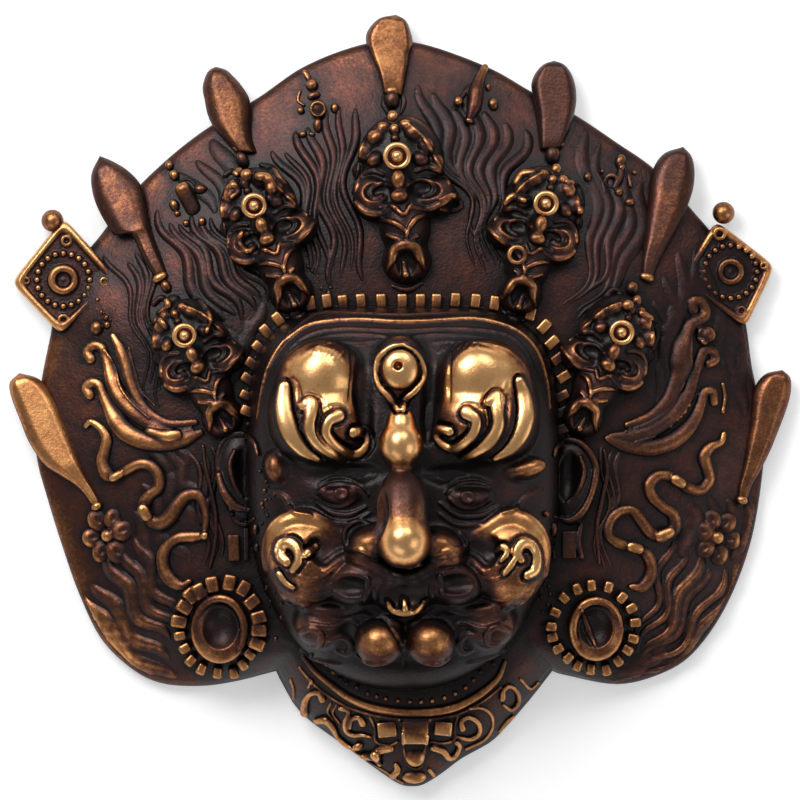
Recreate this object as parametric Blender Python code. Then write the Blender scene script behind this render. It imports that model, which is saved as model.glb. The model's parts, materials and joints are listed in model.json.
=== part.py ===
"""Cast bronze wall mask of a wrathful deity, lying on its back.

The flat rim of the back is z = 0, the nose points to +Z and the crest to +Y. The
origin is under the middle of the mask's bounding box. The carving is drawn in
millimetres at the mask's real height, on the plane of the back, with its origin in the
middle, so its places follow the height. Walls and thicknesses are sizes of their own.
"""
import math

import bmesh
import bpy
import numpy as np
from mathutils import Matrix, Vector

# Driving sizes in metres
MASK_HEIGHT = 0.2573
RIM_THICKNESS = 0.0045
RIM_LAND = 0.007
WALL = 0.004
PLATE_RISE = 0.0185
FACE_RISE = 0.027
CARVING_SINK = 0.002
BLADE_THICKNESS = 0.0066
BLADE_TIP_HEIGHT = 0.0052
MEDALLION_THICKNESS = 0.0056
MEDALLION_BORDER = 0.0014
CROWN_BEAD_DIAMETER = 0.0042
BIB_BEAD_DIAMETER = 0.0042
STRAND_WIDTH = 0.0034

# The drawing's scale, in metres to a drawn millimetre
DRAWN_HEIGHT = 257.3
SCALE = MASK_HEIGHT / DRAWN_HEIGHT

# The face is an egg about the bridge of the nose, squarer above
HUB = (1.0, -26.0)
FACE_HALF_WIDTH = 52.0
FACE_ABOVE_HUB = 57.0
FACE_BELOW_HUB = 70.0
FACE_POWER_ABOVE = 4.0
FACE_POWER_BELOW = 2.2
PLATE_CURVE = 1.8
FACE_CURVE = 2.5

# The plate's edge from the left jaw corner, round the crest, to the right jaw corner
PLATE_EDGE = [
    (-41.3, -90.3), (-54.7, -93.7), (-66.7, -95.3), (-79.7, -94.3), (-89.7, -89.3), (-99.7, -79.3),
    (-107.0, -64.3), (-112.3, -49.3), (-117.0, -34.3), (-121.0, -19.3), (-121.3, -6.0), (-119.0, 9.0),
    (-116.3, 22.3), (-113.3, 39.0), (-100.7, 53.7), (-90.0, 68.0), (-77.0, 80.7), (-64.0, 90.7),
    (-47.3, 100.7), (-32.7, 110.7), (-16.7, 117.3), (-3.3, 119.7), (10.0, 118.0), (29.7, 110.7),
    (43.3, 103.0), (58.3, 95.0), (72.3, 85.7), (85.0, 76.7), (97.3, 63.3), (108.3, 49.0),
    (114.7, 28.0), (117.3, 10.7), (121.3, -9.3), (120.3, -28.3), (116.3, -49.3), (108.3, -69.3),
    (97.7, -84.3), (86.7, -91.3), (72.3, -94.7), (55.3, -91.7), (50.7, -90.3),
]
# The bib's edge from the right jaw corner, round its point, to the left one
BIB_EDGE = [
    (50.7, -90.3), (43.7, -99.3), (35.0, -109.3), (29.7, -114.3), (20.7, -119.3), (14.0, -124.3),
    (8.0, -128.0), (4.0, -128.7), (0.0, -128.0), (-6.0, -124.3), (-19.7, -114.3), (-33.0, -104.3),
    (-39.3, -94.3), (-41.3, -90.3),
]
PLATE_STEPS = 1

# Shares at which the shell's rings are drawn
PLATE_RINGS = (0.0, 0.12, 0.36, 0.68, 1.0)
FACE_RINGS = (0.95, 0.8, 0.5)
CAVITY_PLATE_RINGS = (0.0, 0.4, 1.0)
CAVITY_FACE_RINGS = (0.93, 0.7)

# A blade's half width along it, as shares of its widest, from its collar to its tip
BLADE_PROFILE = (
    (-0.03, 0.42), (0.2, 0.48), (0.55, 0.84), (0.75, 1.0), (0.91, 0.84), (0.99, 0.42),
)
# Each blade: its collar, its tip and half its greatest width
BLADES = {
    "side_left": ((-100.7, -35.3), (-127.0, 9.3), 6.3),
    "outer_left": ((-80.0, 40.7), (-100.0, 81.7), 6.3),
    "inner_left": ((-52.3, 83.3), (-61.3, 111.3), 6.3),
    "top": ((-3.0, 100.0), (-1.3, 129.2), 7.7),
    "inner_right": ((50.3, 84.0), (51.3, 113.3), 7.0),
    "outer_right": ((81.7, 40.7), (94.7, 84.7), 6.7),
    "side_right": ((113.3, -33.7), (127.7, 10.0), 6.0),
}

# Each skull of the crown: its brow ring, its mouth and half its width
SKULLS = {
    "outer_left": ((-71.3, 21.3), (-61.3, 0.7), 11.0),
    "inner_left": ((-48.3, 64.3), (-39.7, 42.0), 12.0),
    "centre": ((-1.0, 80.7), (1.3, 50.0), 13.7),
    "inner_right": ((48.3, 65.0), (43.0, 44.7), 12.3),
    "outer_right": ((73.3, 22.3), (62.7, 0.0), 12.0),
}
SKULL_HALF_LENGTH = 14.5
SKULL_HEIGHT = 9.5
SKULL_RING_RADIUS = 4.4
SKULL_RING_RISE = 1.4
SKULL_PEARL_RADIUS = 2.3
SKULL_PEARL_RISE = 2.8
SKULL_RIDGE_HEIGHT = 1.8
SKULL_BROW_HALF_WIDTHS = (1.4, 1.9, 1.2)
SKULL_FANG_HALF_WIDTHS = (1.9, 1.8, 0.9)
SKULL_NOSE = (2.2, 3.6)
SKULL_NOSE_RISE = 0.4
SKULL_TONGUE = (1.7, 3.4)
# Beads over each skull: distance above its ring, half sizes and height
SKULL_BEADS = {"upper": (15.0, (2.0, 2.4), 4.6), "lower": (9.0, (1.8, 2.2), 8.4)}

# Each medallion: its middle, its side and its turn in degrees
MEDALLIONS = {
    "left": ((-111.7, 40.7), 26.7, 46),
    "right": ((109.3, 42.0), 25.3, 55),
}
MEDALLION_STUDS = 10
MEDALLION_STUD_CIRCLE = 9.0
# Radius and height of a medallion's round pieces
MEDALLION_RING = (5.0, 1.6)
MEDALLION_PEARL = (2.4, 2.4)
MEDALLION_STUD = (1.4, 1.2)
MEDALLION_CORNER = (1.9, 1.2)
MEDALLION_CORNER_INSET = 3.6
MEDALLION_LIFT = -1.2
LEAN_SHARE = 0.45
# Knobs behind the medallions: place and radius
MEDALLION_KNOBS = {"left": ((-115.3, 59.3), 4.0), "right": ((107.0, 61.7), 4.0)}

KNOB_CLEARANCE = 2.0

# Locks of hair that are carved as flames: route and half width along it
FLAMES = {
    "left_upper": [(-101.7, 15.3), (-98.0, 12.7), (-95.3, 5.7), (-91.3, -3.3), (-82.7, -10.7), (-68.0, -11.3)],
    "left_lower": [(-102.3, 2.7), (-98.7, 2.7), (-95.3, -4.0), (-90.0, -11.3), (-80.0, -14.7), (-66.7, -11.3)],
    "left_inner": [(-92.7, 18.7), (-90.0, 11.3), (-88.7, 0.0), (-83.3, -7.7), (-70.7, -10.0)],
    "right_upper": [(100.0, 31.3), (97.7, 23.3), (93.7, 16.7), (92.0, 6.7), (85.0, -2.7), (72.7, -7.3)],
    "right_middle": [(102.7, 12.7), (100.3, 7.3), (97.0, -2.3), (89.3, -9.7), (73.3, -12.0)],
    "right_lower": [(102.0, 0.0), (99.7, -8.7), (93.3, -16.0), (84.0, -19.0), (72.0, -17.3)],
}
FLAME_HALF_WIDTHS = (1.6, 2.4, 3.4, 3.8, 3.2, 2.0)
FLAME_HEIGHT = 3.2

RIBBONS = {
    "left": [
        (-103.3, -7.3), (-98.3, -10.7), (-97.7, -16.7), (-98.0, -22.7), (-94.0, -25.3), (-85.7, -20.7),
        (-80.0, -26.0), (-82.7, -31.7), (-84.3, -38.7), (-78.7, -40.7), (-71.3, -32.0), (-65.7, -34.0),
        (-65.0, -44.0), (-73.3, -46.0), (-78.3, -52.7), (-74.7, -60.7),
    ],
    "right": [
        (107.7, -13.0), (102.3, -16.3), (102.7, -26.0), (97.3, -29.3), (86.7, -25.0), (82.7, -30.7),
        (90.7, -38.7), (87.3, -45.3), (81.3, -41.3), (75.3, -36.7), (69.3, -42.7), (74.7, -48.7),
        (81.7, -51.3), (81.7, -59.3), (77.3, -62.7),
    ],
}
RIBBON_HALF_WIDTH = 1.6
RIBBON_HEIGHT = 2.2

# Flowers tied at the side blades' collars: middle and reach of the petals
FLOWERS = {"left": ((-97.0, -45.3), 5.7), "right": ((105.3, -46.3), 5.0)}
FLOWER_PETALS = 5
FLOWER_BOSS_RADIUS = 2.0
FLOWER_BOSS_HEIGHT = 4.4
FLOWER_PETAL_HEIGHT = 2.8

# Ears: rim, outer fold and the bar that hangs from the lobe
EAR_RIMS = {
    "left": [
        (-46.7, -16.7), (-51.7, -12.0), (-58.0, -12.7), (-61.0, -20.0), (-59.3, -29.3), (-54.7, -36.7), (-50.0, -38.7),
    ],
    "right": [
        (50.3, -18.0), (55.3, -13.7), (61.7, -15.7), (64.7, -23.3), (63.3, -32.7), (59.3, -38.7), (54.7, -40.3),
    ],
}
EAR_FOLDS = {
    "left": [(-64.0, -21.3), (-63.0, -32.7), (-60.3, -43.3), (-61.3, -55.3)],
    "right": [(68.7, -22.0), (67.3, -32.7), (65.7, -44.3), (65.0, -53.3)],
}
EAR_BARS = {"left": [(-54.7, -42.0), (-55.3, -53.3)], "right": [(57.3, -42.0), (60.0, -52.7)]}
# Half width and height of the ears' ridges
EAR_RIM = (2.6, 4.6)
EAR_FOLD = (2.0, 2.4)
EAR_BAR = (2.6, 3.4)

# Discs in the ear lobes: middle and radius of the ring
EAR_DISCS = {"left": ((-59.7, -75.7), 9.0), "right": ((65.0, -75.7), 9.0)}
DISC_PETALS = 13
DISC_HEIGHT = 2.6
DISC_RING_HALF_WIDTH = 1.9
DISC_RING_HEIGHT = 2.2
DISC_RING_LIFT = 2.0
DISC_PETAL_CIRCLE = 13.5
DISC_PETAL_RADIUS = 2.1

# Small ornaments in the crest's hair: beads given by place, half sizes and turn
CREST_ORNAMENT_HEIGHT = 2.6
CREST_ORNAMENTS = {
    "chain_top": ((-29.7, 105.3), (1.3, 2.8), 10),
    "chain_boss": ((-27.0, 96.7), (2.9, 3.6), 15),
    "chain_drop": ((-26.7, 90.7), (1.6, 2.6), 0),
    "chain_left": ((-32.3, 94.7), (1.6, 2.2), 20),
    "chain_right": ((-22.3, 96.7), (1.3, 1.8), 0),
    "leaf_left": ((-71.0, 67.3), (2.4, 6.0), 25),
    "leaf_left_side": ((-74.7, 64.7), (1.5, 2.2), 30),
    "leaf_left_tip": ((-68.0, 61.3), (1.4, 2.4), 25),
    "leaf_top": ((26.0, 103.3), (3.4, 6.2), -20),
    "leaf_top_tip": ((23.3, 94.7), (1.7, 3.4), -20),
    "leaf_top_left": ((19.7, 99.7), (1.4, 1.6), 0),
    "leaf_top_right": ((31.0, 98.7), (1.2, 1.6), 0),
    "leaf_right": ((72.3, 73.3), (2.4, 5.0), -25),
    "leaf_right_side": ((67.7, 72.7), (1.5, 2.2), 10),
}

CROWN_BEADS = 28
CROWN_BEAD_RING = 1.045
CROWN_BEAD_ANGLES = (157.0, 19.0)
BIB_BEADS = 19
BIB_BEAD_RING = 1.055
BIB_BEAD_ANGLES = (-118.0, -63.0)

# Hair combed up the crest: each strand's angle about the hub and where it starts and ends
CREST_STRANDS = (
    (157, 0.75), (151, 0.45), (145, 0.4), (139, 0.8), (133, 0.8), (127, 0.42), (121, 0.35),
    (115.5, 0.8), (110, 0.85), (105, 0.85), (99.5, 0.7), (94, 0.3), (85, 0.3), (80, 0.7),
    (74.5, 0.85), (69, 0.85), (64, 0.75), (58.5, 0.35), (53, 0.42), (47, 0.8), (41, 0.8),
    (35, 0.45), (29, 0.4), (23, 0.75),
)
STRAND_HEIGHT = 1.8
STRAND_END = 0.1
STRAND_WAVE = 1.6
STRAND_WAVES = 1.6
STRAND_STEPS = 5

# Hair swept down the cheeks' sides: the first and the last strand of each fall
SIDE_FALLS = {
    "left": (
        [(-96.0, -61.3), (-91.3, -73.3), (-83.3, -83.3), (-72.7, -91.3)],
        [(-80.0, -39.3), (-83.3, -52.7), (-80.0, -66.0), (-76.0, -79.3)],
    ),
    "left_edge": (
        [(-112.7, -26.0), (-109.3, -39.3), (-105.3, -52.7), (-100.7, -66.0)],
        [(-105.3, -35.3), (-103.3, -46.0), (-100.0, -57.7), (-94.0, -69.3)],
    ),
    "right": (
        [(102.7, -61.3), (98.0, -73.3), (89.3, -83.3), (80.0, -90.7)],
        [(92.0, -42.7), (90.7, -54.7), (87.3, -67.3), (82.7, -79.3)],
    ),
    "right_edge": (
        [(116.7, -32.7), (114.7, -44.0), (111.3, -56.0), (106.0, -67.3)],
        [(100.0, -32.7), (101.3, -42.7), (101.3, -52.7), (98.7, -64.7)],
    ),
}
FALL_STRANDS = 4

# Bosses of the face: place, half sizes, height over the face, turn, sides and rings
FACE_BOSSES = {
    "brow_left": ((-25.3, -0.7), (15.0, 19.0), 13.0, 6, 12, 8),
    "brow_right": ((28.0, -0.7), (16.5, 19.0), 13.0, -6, 12, 8),
    "third_eye": ((-0.3, 9.7), (6.4, 9.6), 11.0, 0, 8, 6),
    "third_eye_pupil": ((-0.7, 12.0), (2.4, 2.4), 13.0, 0, 6, 4),
    "brow_jewel": ((0.3, -12.7), (6.6, 9.2), 14.5, 0, 8, 6),
    "nose_bridge": ((0.3, -32.7), (5.2, 15.0), 12.5, 0, 8, 4),
    "nose_tip": ((1.0, -46.3), (8.0, 8.8), 23.5, 0, 10, 8),
    "nostril_left": ((-10.7, -47.0), (6.4, 5.6), 12.5, 0, 8, 4),
    "nostril_right": ((15.0, -47.0), (6.4, 5.6), 12.5, 0, 8, 4),
    "eye_left": ((-19.3, -30.7), (5.4, 3.6), 3.6, -8, 8, 4),
    "eye_right": ((22.0, -31.3), (5.4, 3.6), 3.6, 8, 8, 4),
    "cheek_left": ((-32.0, -55.0), (12.5, 16.5), 13.0, 8, 10, 6),
    "cheek_right": ((36.7, -54.7), (12.5, 16.5), 13.0, -8, 10, 6),
    "muzzle_left": ((-12.7, -56.0), (10.5, 5.8), 10.0, 12, 8, 4),
    "muzzle_right": ((14.7, -56.0), (10.5, 5.8), 10.0, -12, 8, 4),
    "tongue": ((1.7, -67.3), (7.0, 4.0), 9.5, 0, 6, 4),
    "chin_left": ((-6.7, -79.3), (7.0, 7.2), 13.5, 0, 10, 6),
    "chin_right": ((11.3, -79.3), (7.0, 7.2), 13.5, 0, 10, 6),
    "jaw_left": ((-25.3, -75.3), (8.0, 8.0), 7.5, 20, 8, 4),
    "jaw_right": ((28.7, -75.3), (8.0, 8.0), 7.5, -20, 8, 4),
    "temple_left": ((-42.7, -22.7), (3.2, 6.0), 6.0, 0, 6, 4),
    "temple_right": ((45.3, -23.3), (3.2, 6.0), 6.0, 0, 6, 4),
}
# Ridges of the face: route, half width, height and the boss that carries it
FACE_RIDGES = {
    "lower_lip": (
        [(-33.3, -68.0), (-23.3, -70.0), (-12.7, -72.7), (0.0, -74.7), (13.3, -72.3), (24.7, -69.3), (35.3, -66.7)],
        2.4, 6.5, None,
    ),
    "fang_left": ([(-10.3, -57.3), (-10.0, -61.3), (-9.7, -65.3)], 2.0, 2.4, "muzzle_left"),
    "fang_right": ([(13.3, -57.3), (13.0, -60.7), (12.7, -64.0)], 1.8, 2.4, "muzzle_right"),
    "lid_left": ([(-28.0, -30.0), (-23.3, -27.0), (-17.3, -27.3), (-11.3, -30.7)], 1.6, 3.4, None),
    "lid_right": ([(14.0, -31.3), (19.3, -27.7), (25.3, -27.3), (30.7, -30.0)], 1.6, 3.4, None),
    "flame_left_outer": (
        [(-34.7, 4.7), (-36.3, -2.7), (-35.0, -10.7), (-31.0, -15.7)], 2.0, 1.4, "brow_left",
    ),
    "flame_left_stem": ([(-29.7, -0.7), (-30.3, -8.7), (-25.3, -15.3)], 2.4, 1.6, "brow_left"),
    "flame_left_hook": (
        [(-19.0, -6.3), (-24.0, -6.0), (-24.0, -10.7), (-19.0, -14.3), (-14.7, -11.3)], 1.8, 1.4, "brow_left",
    ),
    "flame_right_outer": ([(36.7, 5.3), (39.0, -2.7), (36.7, -11.3)], 2.0, 1.4, "brow_right"),
    "flame_right_stem": ([(31.7, 0.0), (30.3, -8.7), (26.3, -15.0)], 2.4, 1.6, "brow_right"),
    "flame_right_hook": (
        [(20.7, -4.3), (24.7, -7.3), (22.7, -12.0), (16.7, -13.7), (14.0, -10.0)], 1.8, 1.4, "brow_right",
    ),
    "cheek_curl_left": (
        [(-33.3, -46.0), (-37.7, -47.7), (-38.0, -52.0), (-34.0, -53.3)], 1.7, 1.3, "cheek_left",
    ),
    "cheek_curl_right": (
        [(36.0, -46.3), (40.7, -47.7), (41.3, -52.7), (37.0, -54.0)], 1.7, 1.3, "cheek_right",
    ),
}

# Scrolls and settings of the bib
BIB_RIDGES = {
    "cord": [(-33.3, -88.7), (-23.3, -96.0), (-10.0, -101.7), (3.7, -103.7), (17.3, -101.7), (28.7, -96.7), (36.0, -90.0)],
    "scroll_left": [(-32.0, -103.3), (-30.0, -98.0), (-25.3, -98.7), (-22.7, -104.7), (-17.3, -107.3)],
    "scroll_left_inner": [(-20.7, -113.3), (-18.0, -108.7), (-14.0, -106.7), (-12.0, -110.7)],
    "scroll_right": [(38.0, -101.3), (37.3, -96.7), (32.0, -98.0), (28.7, -103.3), (24.0, -106.7)],
    "scroll_right_inner": [(27.3, -112.7), (24.7, -107.3), (20.0, -107.3), (18.7, -111.3)],
    "drop_left": [(-16.0, -116.0), (-9.3, -116.0), (-4.7, -118.0)],
    "drop_right": [(24.0, -114.7), (17.3, -116.0), (12.7, -118.3)],
}
BIB_RIDGE = (1.7, 2.2)
BIB_TILE_HEIGHT = 2.6
BIB_TILES = {
    "left": ((-4.3, -109.7), (2.6, 2.2), 8), "centre": ((5.0, -110.3), (3.8, 3.2), 0),
    "right": ((14.3, -109.3), (2.6, 2.2), -8), "shield": ((5.0, -118.3), (2.6, 2.6), 45),
    "tip": ((4.7, -125.0), (3.2, 2.0), 0),
}

# Share of the joined mesh's faces that is kept
FACES_KEPT = 0.53
TEAR_ROUNDS = 4

BRONZE_COLOUR = (0.105, 0.048, 0.024, 1.0)
BRONZE_ROUGHNESS = 0.42


def drawn(size):
    """A size in metres, in the drawing's millimetres."""
    return size / SCALE


RIM = drawn(RIM_THICKNESS)
RISE = drawn(PLATE_RISE)
DOME = drawn(FACE_RISE)
SINK = drawn(CARVING_SINK)
BOSS_ROOT = 1.5 * SINK


def smooth_run(points, steps):
    """Points along a Catmull-Rom curve through the given ones, without the last."""
    knots = [np.array(point) for point in points]
    knots = [2 * knots[0] - knots[1]] + knots + [2 * knots[-1] - knots[-2]]
    run = []
    for before, start, end, after in zip(knots, knots[1:], knots[2:], knots[3:]):
        for step in range(steps):
            t = step / steps
            bend = 2 * before - 5 * start + 4 * end - after
            twist = 3 * start - before - 3 * end + after
            run.append(start + 0.5 * ((end - before) * t + bend * t * t + twist * t ** 3))
    return run


def outline_points():
    """The mask's edge as seen from the front, once round."""
    return np.array(smooth_run(PLATE_EDGE, PLATE_STEPS) + smooth_run(BIB_EDGE, 1))


def oval_radius(angle):
    """The face's reach from the hub, at angles in radians."""
    above = np.sin(angle) > 0
    power = np.where(above, FACE_POWER_ABOVE, FACE_POWER_BELOW)
    half_height = np.where(above, FACE_ABOVE_HUB, FACE_BELOW_HUB)
    across = np.abs(np.cos(angle) / FACE_HALF_WIDTH) ** power
    along = np.abs(np.sin(angle) / half_height) ** power
    return (across + along) ** (-1 / power)


OUTLINE = outline_points()


def outline_radius(angle):
    """The outline's reach from the hub, at angles in radians."""
    offset = OUTLINE - np.array(HUB)
    angles = np.arctan2(offset[:, 1], offset[:, 0])
    order = np.argsort(angles)
    reach = np.hypot(offset[:, 0], offset[:, 1])
    return np.interp(angle, angles[order], reach[order], period=2 * math.pi)


def plate_height(share):
    """Height of the plate's front from its edge, share 0, to the face, share 1."""
    return RIM + RISE * (1 - (1 - share) ** PLATE_CURVE)


def face_height(share):
    """Height of the face's own dome from the hub, share 0, to its edge, share 1."""
    return RIM + RISE + DOME * np.sqrt(np.maximum(0, 1 - share ** FACE_CURVE))


def front_height(x, y):
    """Height of the mask's plain front, under the carving."""
    away_x = np.asarray(x, float) - HUB[0]
    away_y = np.asarray(y, float) - HUB[1]
    reach = np.hypot(away_x, away_y)
    angle = np.arctan2(away_y, away_x)
    oval = oval_radius(angle)
    edge = outline_radius(angle)
    share = np.clip((edge - reach) / (edge - oval), 0, 1)
    return np.where(reach < oval, face_height(np.minimum(reach / oval, 1)), plate_height(share))


def clear_scene():
    for item in list(bpy.data.objects):
        bpy.data.objects.remove(item, do_unlink=True)


def new_collection(name):
    collection = bpy.data.collections.new(name)
    bpy.context.scene.collection.children.link(collection)
    return collection


def new_object(name, mesh, collection):
    """Adds a mesh drawn in millimetres as an object in metres."""
    mesh.transform(Matrix.Scale(SCALE, 4))
    item = bpy.data.objects.new(name, mesh)
    collection.objects.link(item)
    return item


def mesh_from(bm, name):
    bmesh.ops.recalc_face_normals(bm, faces=bm.faces)
    mesh = bpy.data.meshes.new(name)
    bm.to_mesh(mesh)
    bm.free()
    return mesh


def drape(mesh):
    """Lays a relief, whose z is height over the plain front, on that front."""
    points = np.empty(len(mesh.vertices) * 3)
    mesh.vertices.foreach_get("co", points)
    points = points.reshape(-1, 3)
    points[:, 2] += front_height(points[:, 0], points[:, 1])
    mesh.vertices.foreach_set("co", points.ravel())
    mesh.update()


def carve(name, mesh, carving):
    """Adds a draped relief to the carving, which the mask's union takes in."""
    drape(mesh)
    return hide(new_object(name, mesh, carving))


def hide(item):
    item.hide_render = True
    item.display_type = "WIRE"
    return item


def placed(place, turn=0, height=0):
    """Matrix of a relief at a place on the front, turned in its plane by degrees."""
    shift = Matrix.Translation((place[0], place[1], height))
    return shift @ Matrix.Rotation(math.radians(turn), 4, "Z")


def boss(name, place, half_sizes, height, carving, turn=0, sides=8, rings=6):
    """A rounded boss: a half ball over the front, and a shallow root in the wall."""
    bm = bmesh.new()
    bmesh.ops.create_uvsphere(bm, u_segments=sides, v_segments=rings, radius=1)
    for vert in bm.verts:
        vert.co.x *= half_sizes[0]
        vert.co.y *= half_sizes[1]
        vert.co.z *= height if vert.co.z > 0 else SINK
    bm.transform(placed(place, turn))
    return carve(name, mesh_from(bm, name), carving)


def bead(name, place, half_sizes, height, carving, turn=0):
    """A small many-sided bead, half sunk in the front."""
    bm = bmesh.new()
    bmesh.ops.create_icosphere(bm, subdivisions=1, radius=1)
    for vert in bm.verts:
        vert.co.x *= half_sizes[0]
        vert.co.y *= half_sizes[1]
        vert.co.z *= height if vert.co.z > 0 else SINK
    bm.transform(placed(place, turn))
    return carve(name, mesh_from(bm, name), carving)


def tablet(name, place, half_sizes, bottom, top, carving, turn=0, sides=0):
    """A flat-topped piece, square or with the given number of sides."""
    bm = bmesh.new()
    if sides:
        bmesh.ops.create_cone(
            bm, cap_ends=True, segments=sides, radius1=1, radius2=0.75, depth=1
        )
    else:
        bmesh.ops.create_cube(bm, size=1)
        bmesh.ops.scale(bm, vec=(2, 2, 1), verts=bm.verts)
    for vert in bm.verts:
        vert.co.x *= half_sizes[0]
        vert.co.y *= half_sizes[1]
        vert.co.z = top if vert.co.z > 0 else bottom
    bm.transform(placed(place, turn))
    return carve(name, mesh_from(bm, name), carving)


def boss_rise(place, middle, half_sizes, height, turn):
    """How far a boss stands over the plain front at a place."""
    offset = Matrix.Rotation(math.radians(-turn), 2) @ (Vector(place) - Vector(middle))
    reach = (offset.x / half_sizes[0]) ** 2 + (offset.y / half_sizes[1]) ** 2
    return height * math.sqrt(max(0.0, 1 - reach))


def ridge(name, route, half_widths, height, carving, lifts=None, root=SINK, closed=False):
    """A ridge along a route: a half width for each point, and what it stands on there."""
    lifts = lifts or [0.0] * len(route)
    steepness = height / max(half_widths)
    curve = bpy.data.curves.new(name, "CURVE")
    curve.dimensions = "3D"
    curve.bevel_depth = 1
    curve.bevel_resolution = 0
    curve.use_fill_caps = not closed
    curve.twist_mode = "Z_UP"
    spline = curve.splines.new("POLY")
    spline.points.add(len(route) - 1)
    spline.use_cyclic_u = closed
    for point, place, half_width in zip(spline.points, route, half_widths):
        point.co = (place[0], place[1], 0, 1)
        point.radius = half_width
    guide = bpy.data.objects.new(name, curve)
    bpy.context.scene.collection.objects.link(guide)
    evaluated = guide.evaluated_get(bpy.context.evaluated_depsgraph_get())
    bm = bmesh.new()
    loose = bpy.data.meshes.new_from_object(evaluated)
    bm.from_mesh(loose)
    bpy.data.meshes.remove(loose)
    bpy.data.objects.remove(guide, do_unlink=True)
    bmesh.ops.remove_doubles(bm, verts=bm.verts, dist=0.0001)
    knots = np.array(route)
    for vert in bm.verts:
        nearest = int(np.argmin(np.hypot(knots[:, 0] - vert.co.x, knots[:, 1] - vert.co.y)))
        above = vert.co.z > 0.01
        below = vert.co.z < -0.01
        vert.co.z = lifts[nearest] + (vert.co.z * steepness if above else -root * below)
    return carve(name, mesh_from(bm, name), carving)


def tapered(route, half_width, tip=0.45):
    """Half widths that swell from a thin tip to the middle and thin out again."""
    last = len(route) - 1
    return [half_width * (tip + (1 - tip) * math.sin(math.pi * i / last)) for i in range(last + 1)]


def toward(start, end):
    """Length and direction, in degrees, from one place to another."""
    gap = Vector(end) - Vector(start)
    return gap.length, math.degrees(math.atan2(gap.y, gap.x))


def local_place(origin, turn, across, along):
    """A place given across and along a turned piece whose length runs to -Y."""
    offset = Matrix.Rotation(math.radians(turn), 2) @ Vector((across, -along))
    return (origin[0] + offset.x, origin[1] + offset.y)


def make_shell(collection):
    """The hollow plate and face: rings drawn in from the edge, in front and behind."""
    hub = np.array(HUB)
    offset = OUTLINE - hub
    angles = np.arctan2(offset[:, 1], offset[:, 0])
    oval = hub + oval_radius(angles)[:, None] * np.stack([np.cos(angles), np.sin(angles)], 1)
    inward = oval - OUTLINE
    gap = np.hypot(inward[:, 0], inward[:, 1])[:, None]
    wall = drawn(WALL)
    inner_oval = oval + (hub - oval) * (wall / np.hypot(*(oval - hub).T))[:, None]
    land = np.minimum(drawn(RIM_LAND), 0.6 * gap)
    land_share = land / (gap + wall)

    rings = [(OUTLINE, np.zeros(len(OUTLINE)))]
    for share in PLATE_RINGS:
        height = np.full(len(OUTLINE), plate_height(share))
        rings.append((OUTLINE + inward * share, height))
    for share in FACE_RINGS:
        rings.append((hub + (oval - hub) * share, np.full(len(OUTLINE), face_height(share))))
    back = [(OUTLINE + (inner_oval - OUTLINE) * land_share, np.zeros(len(OUTLINE)))]
    for step in CAVITY_PLATE_RINGS:
        share = land_share + (1 - land_share) * step
        height = plate_height(share[:, 0]) - wall
        back.append((OUTLINE + (inner_oval - OUTLINE) * share, height))
    for share in CAVITY_FACE_RINGS:
        height = np.full(len(OUTLINE), face_height(share) - wall)
        back.append((hub + (inner_oval - hub) * share, height))

    bm = bmesh.new()
    front_rows = add_rings(bm, rings)
    back_rows = add_rings(bm, back)
    front_pole = bm.verts.new((*HUB, face_height(0.0)))
    back_pole = bm.verts.new((*HUB, face_height(0.0) - wall))
    rows = [row for row in reversed(back_rows)] + front_rows
    count = len(OUTLINE)
    for inner, outer in zip(rows, rows[1:]):
        for i in range(count):
            after = (i + 1) % count
            bm.faces.new((inner[i], inner[after], outer[after], outer[i]))
    for i in range(count):
        after = (i + 1) % count
        bm.faces.new((front_rows[-1][i], front_rows[-1][after], front_pole))
        bm.faces.new((back_rows[-1][after], back_rows[-1][i], back_pole))
    return new_object("mask", mesh_from(bm, "mask"), collection)


def add_rings(bm, rings):
    """One row of vertices for each ring of places and heights."""
    return [
        [bm.verts.new((x, y, z)) for (x, y), z in zip(places, heights)] for places, heights in rings
    ]


def make_blade(name, collar, tip, half_width, carving):
    """A cleaver-shaped blade from its collar on the plate to its tip past the edge."""
    length, heading = toward(collar, tip)
    start_height = float(front_height(*collar)) - 0.1 * drawn(BLADE_THICKNESS)
    end_height = drawn(BLADE_TIP_HEIGHT)
    curve = bpy.data.curves.new(name, "CURVE")
    curve.dimensions = "3D"
    curve.bevel_depth = 1
    curve.bevel_resolution = 1
    curve.use_fill_caps = True
    spline = curve.splines.new("POLY")
    spline.points.add(len(BLADE_PROFILE) - 1)
    for point, (along, width) in zip(spline.points, BLADE_PROFILE):
        point.co = (0, along * length, 0, 1)
        point.radius = half_width * width
    guide = bpy.data.objects.new(name, curve)
    bpy.context.scene.collection.objects.link(guide)
    evaluated = guide.evaluated_get(bpy.context.evaluated_depsgraph_get())
    bm = bmesh.new()
    loose = bpy.data.meshes.new_from_object(evaluated)
    bm.from_mesh(loose)
    bpy.data.meshes.remove(loose)
    bpy.data.objects.remove(guide, do_unlink=True)
    bmesh.ops.remove_doubles(bm, verts=bm.verts, dist=0.0001)
    lean = math.atan2(end_height - start_height, length)
    flatten = Matrix.Diagonal((1, 1, drawn(BLADE_THICKNESS) / (2 * half_width), 1))
    turn = Matrix.Rotation(math.radians(heading - 90), 4, "Z")
    place = Matrix.Translation((collar[0], collar[1], start_height))
    bm.transform(place @ turn @ Matrix.Rotation(lean, 4, "X") @ flatten)
    hide(new_object("blade_" + name, mesh_from(bm, name), carving))


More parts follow.
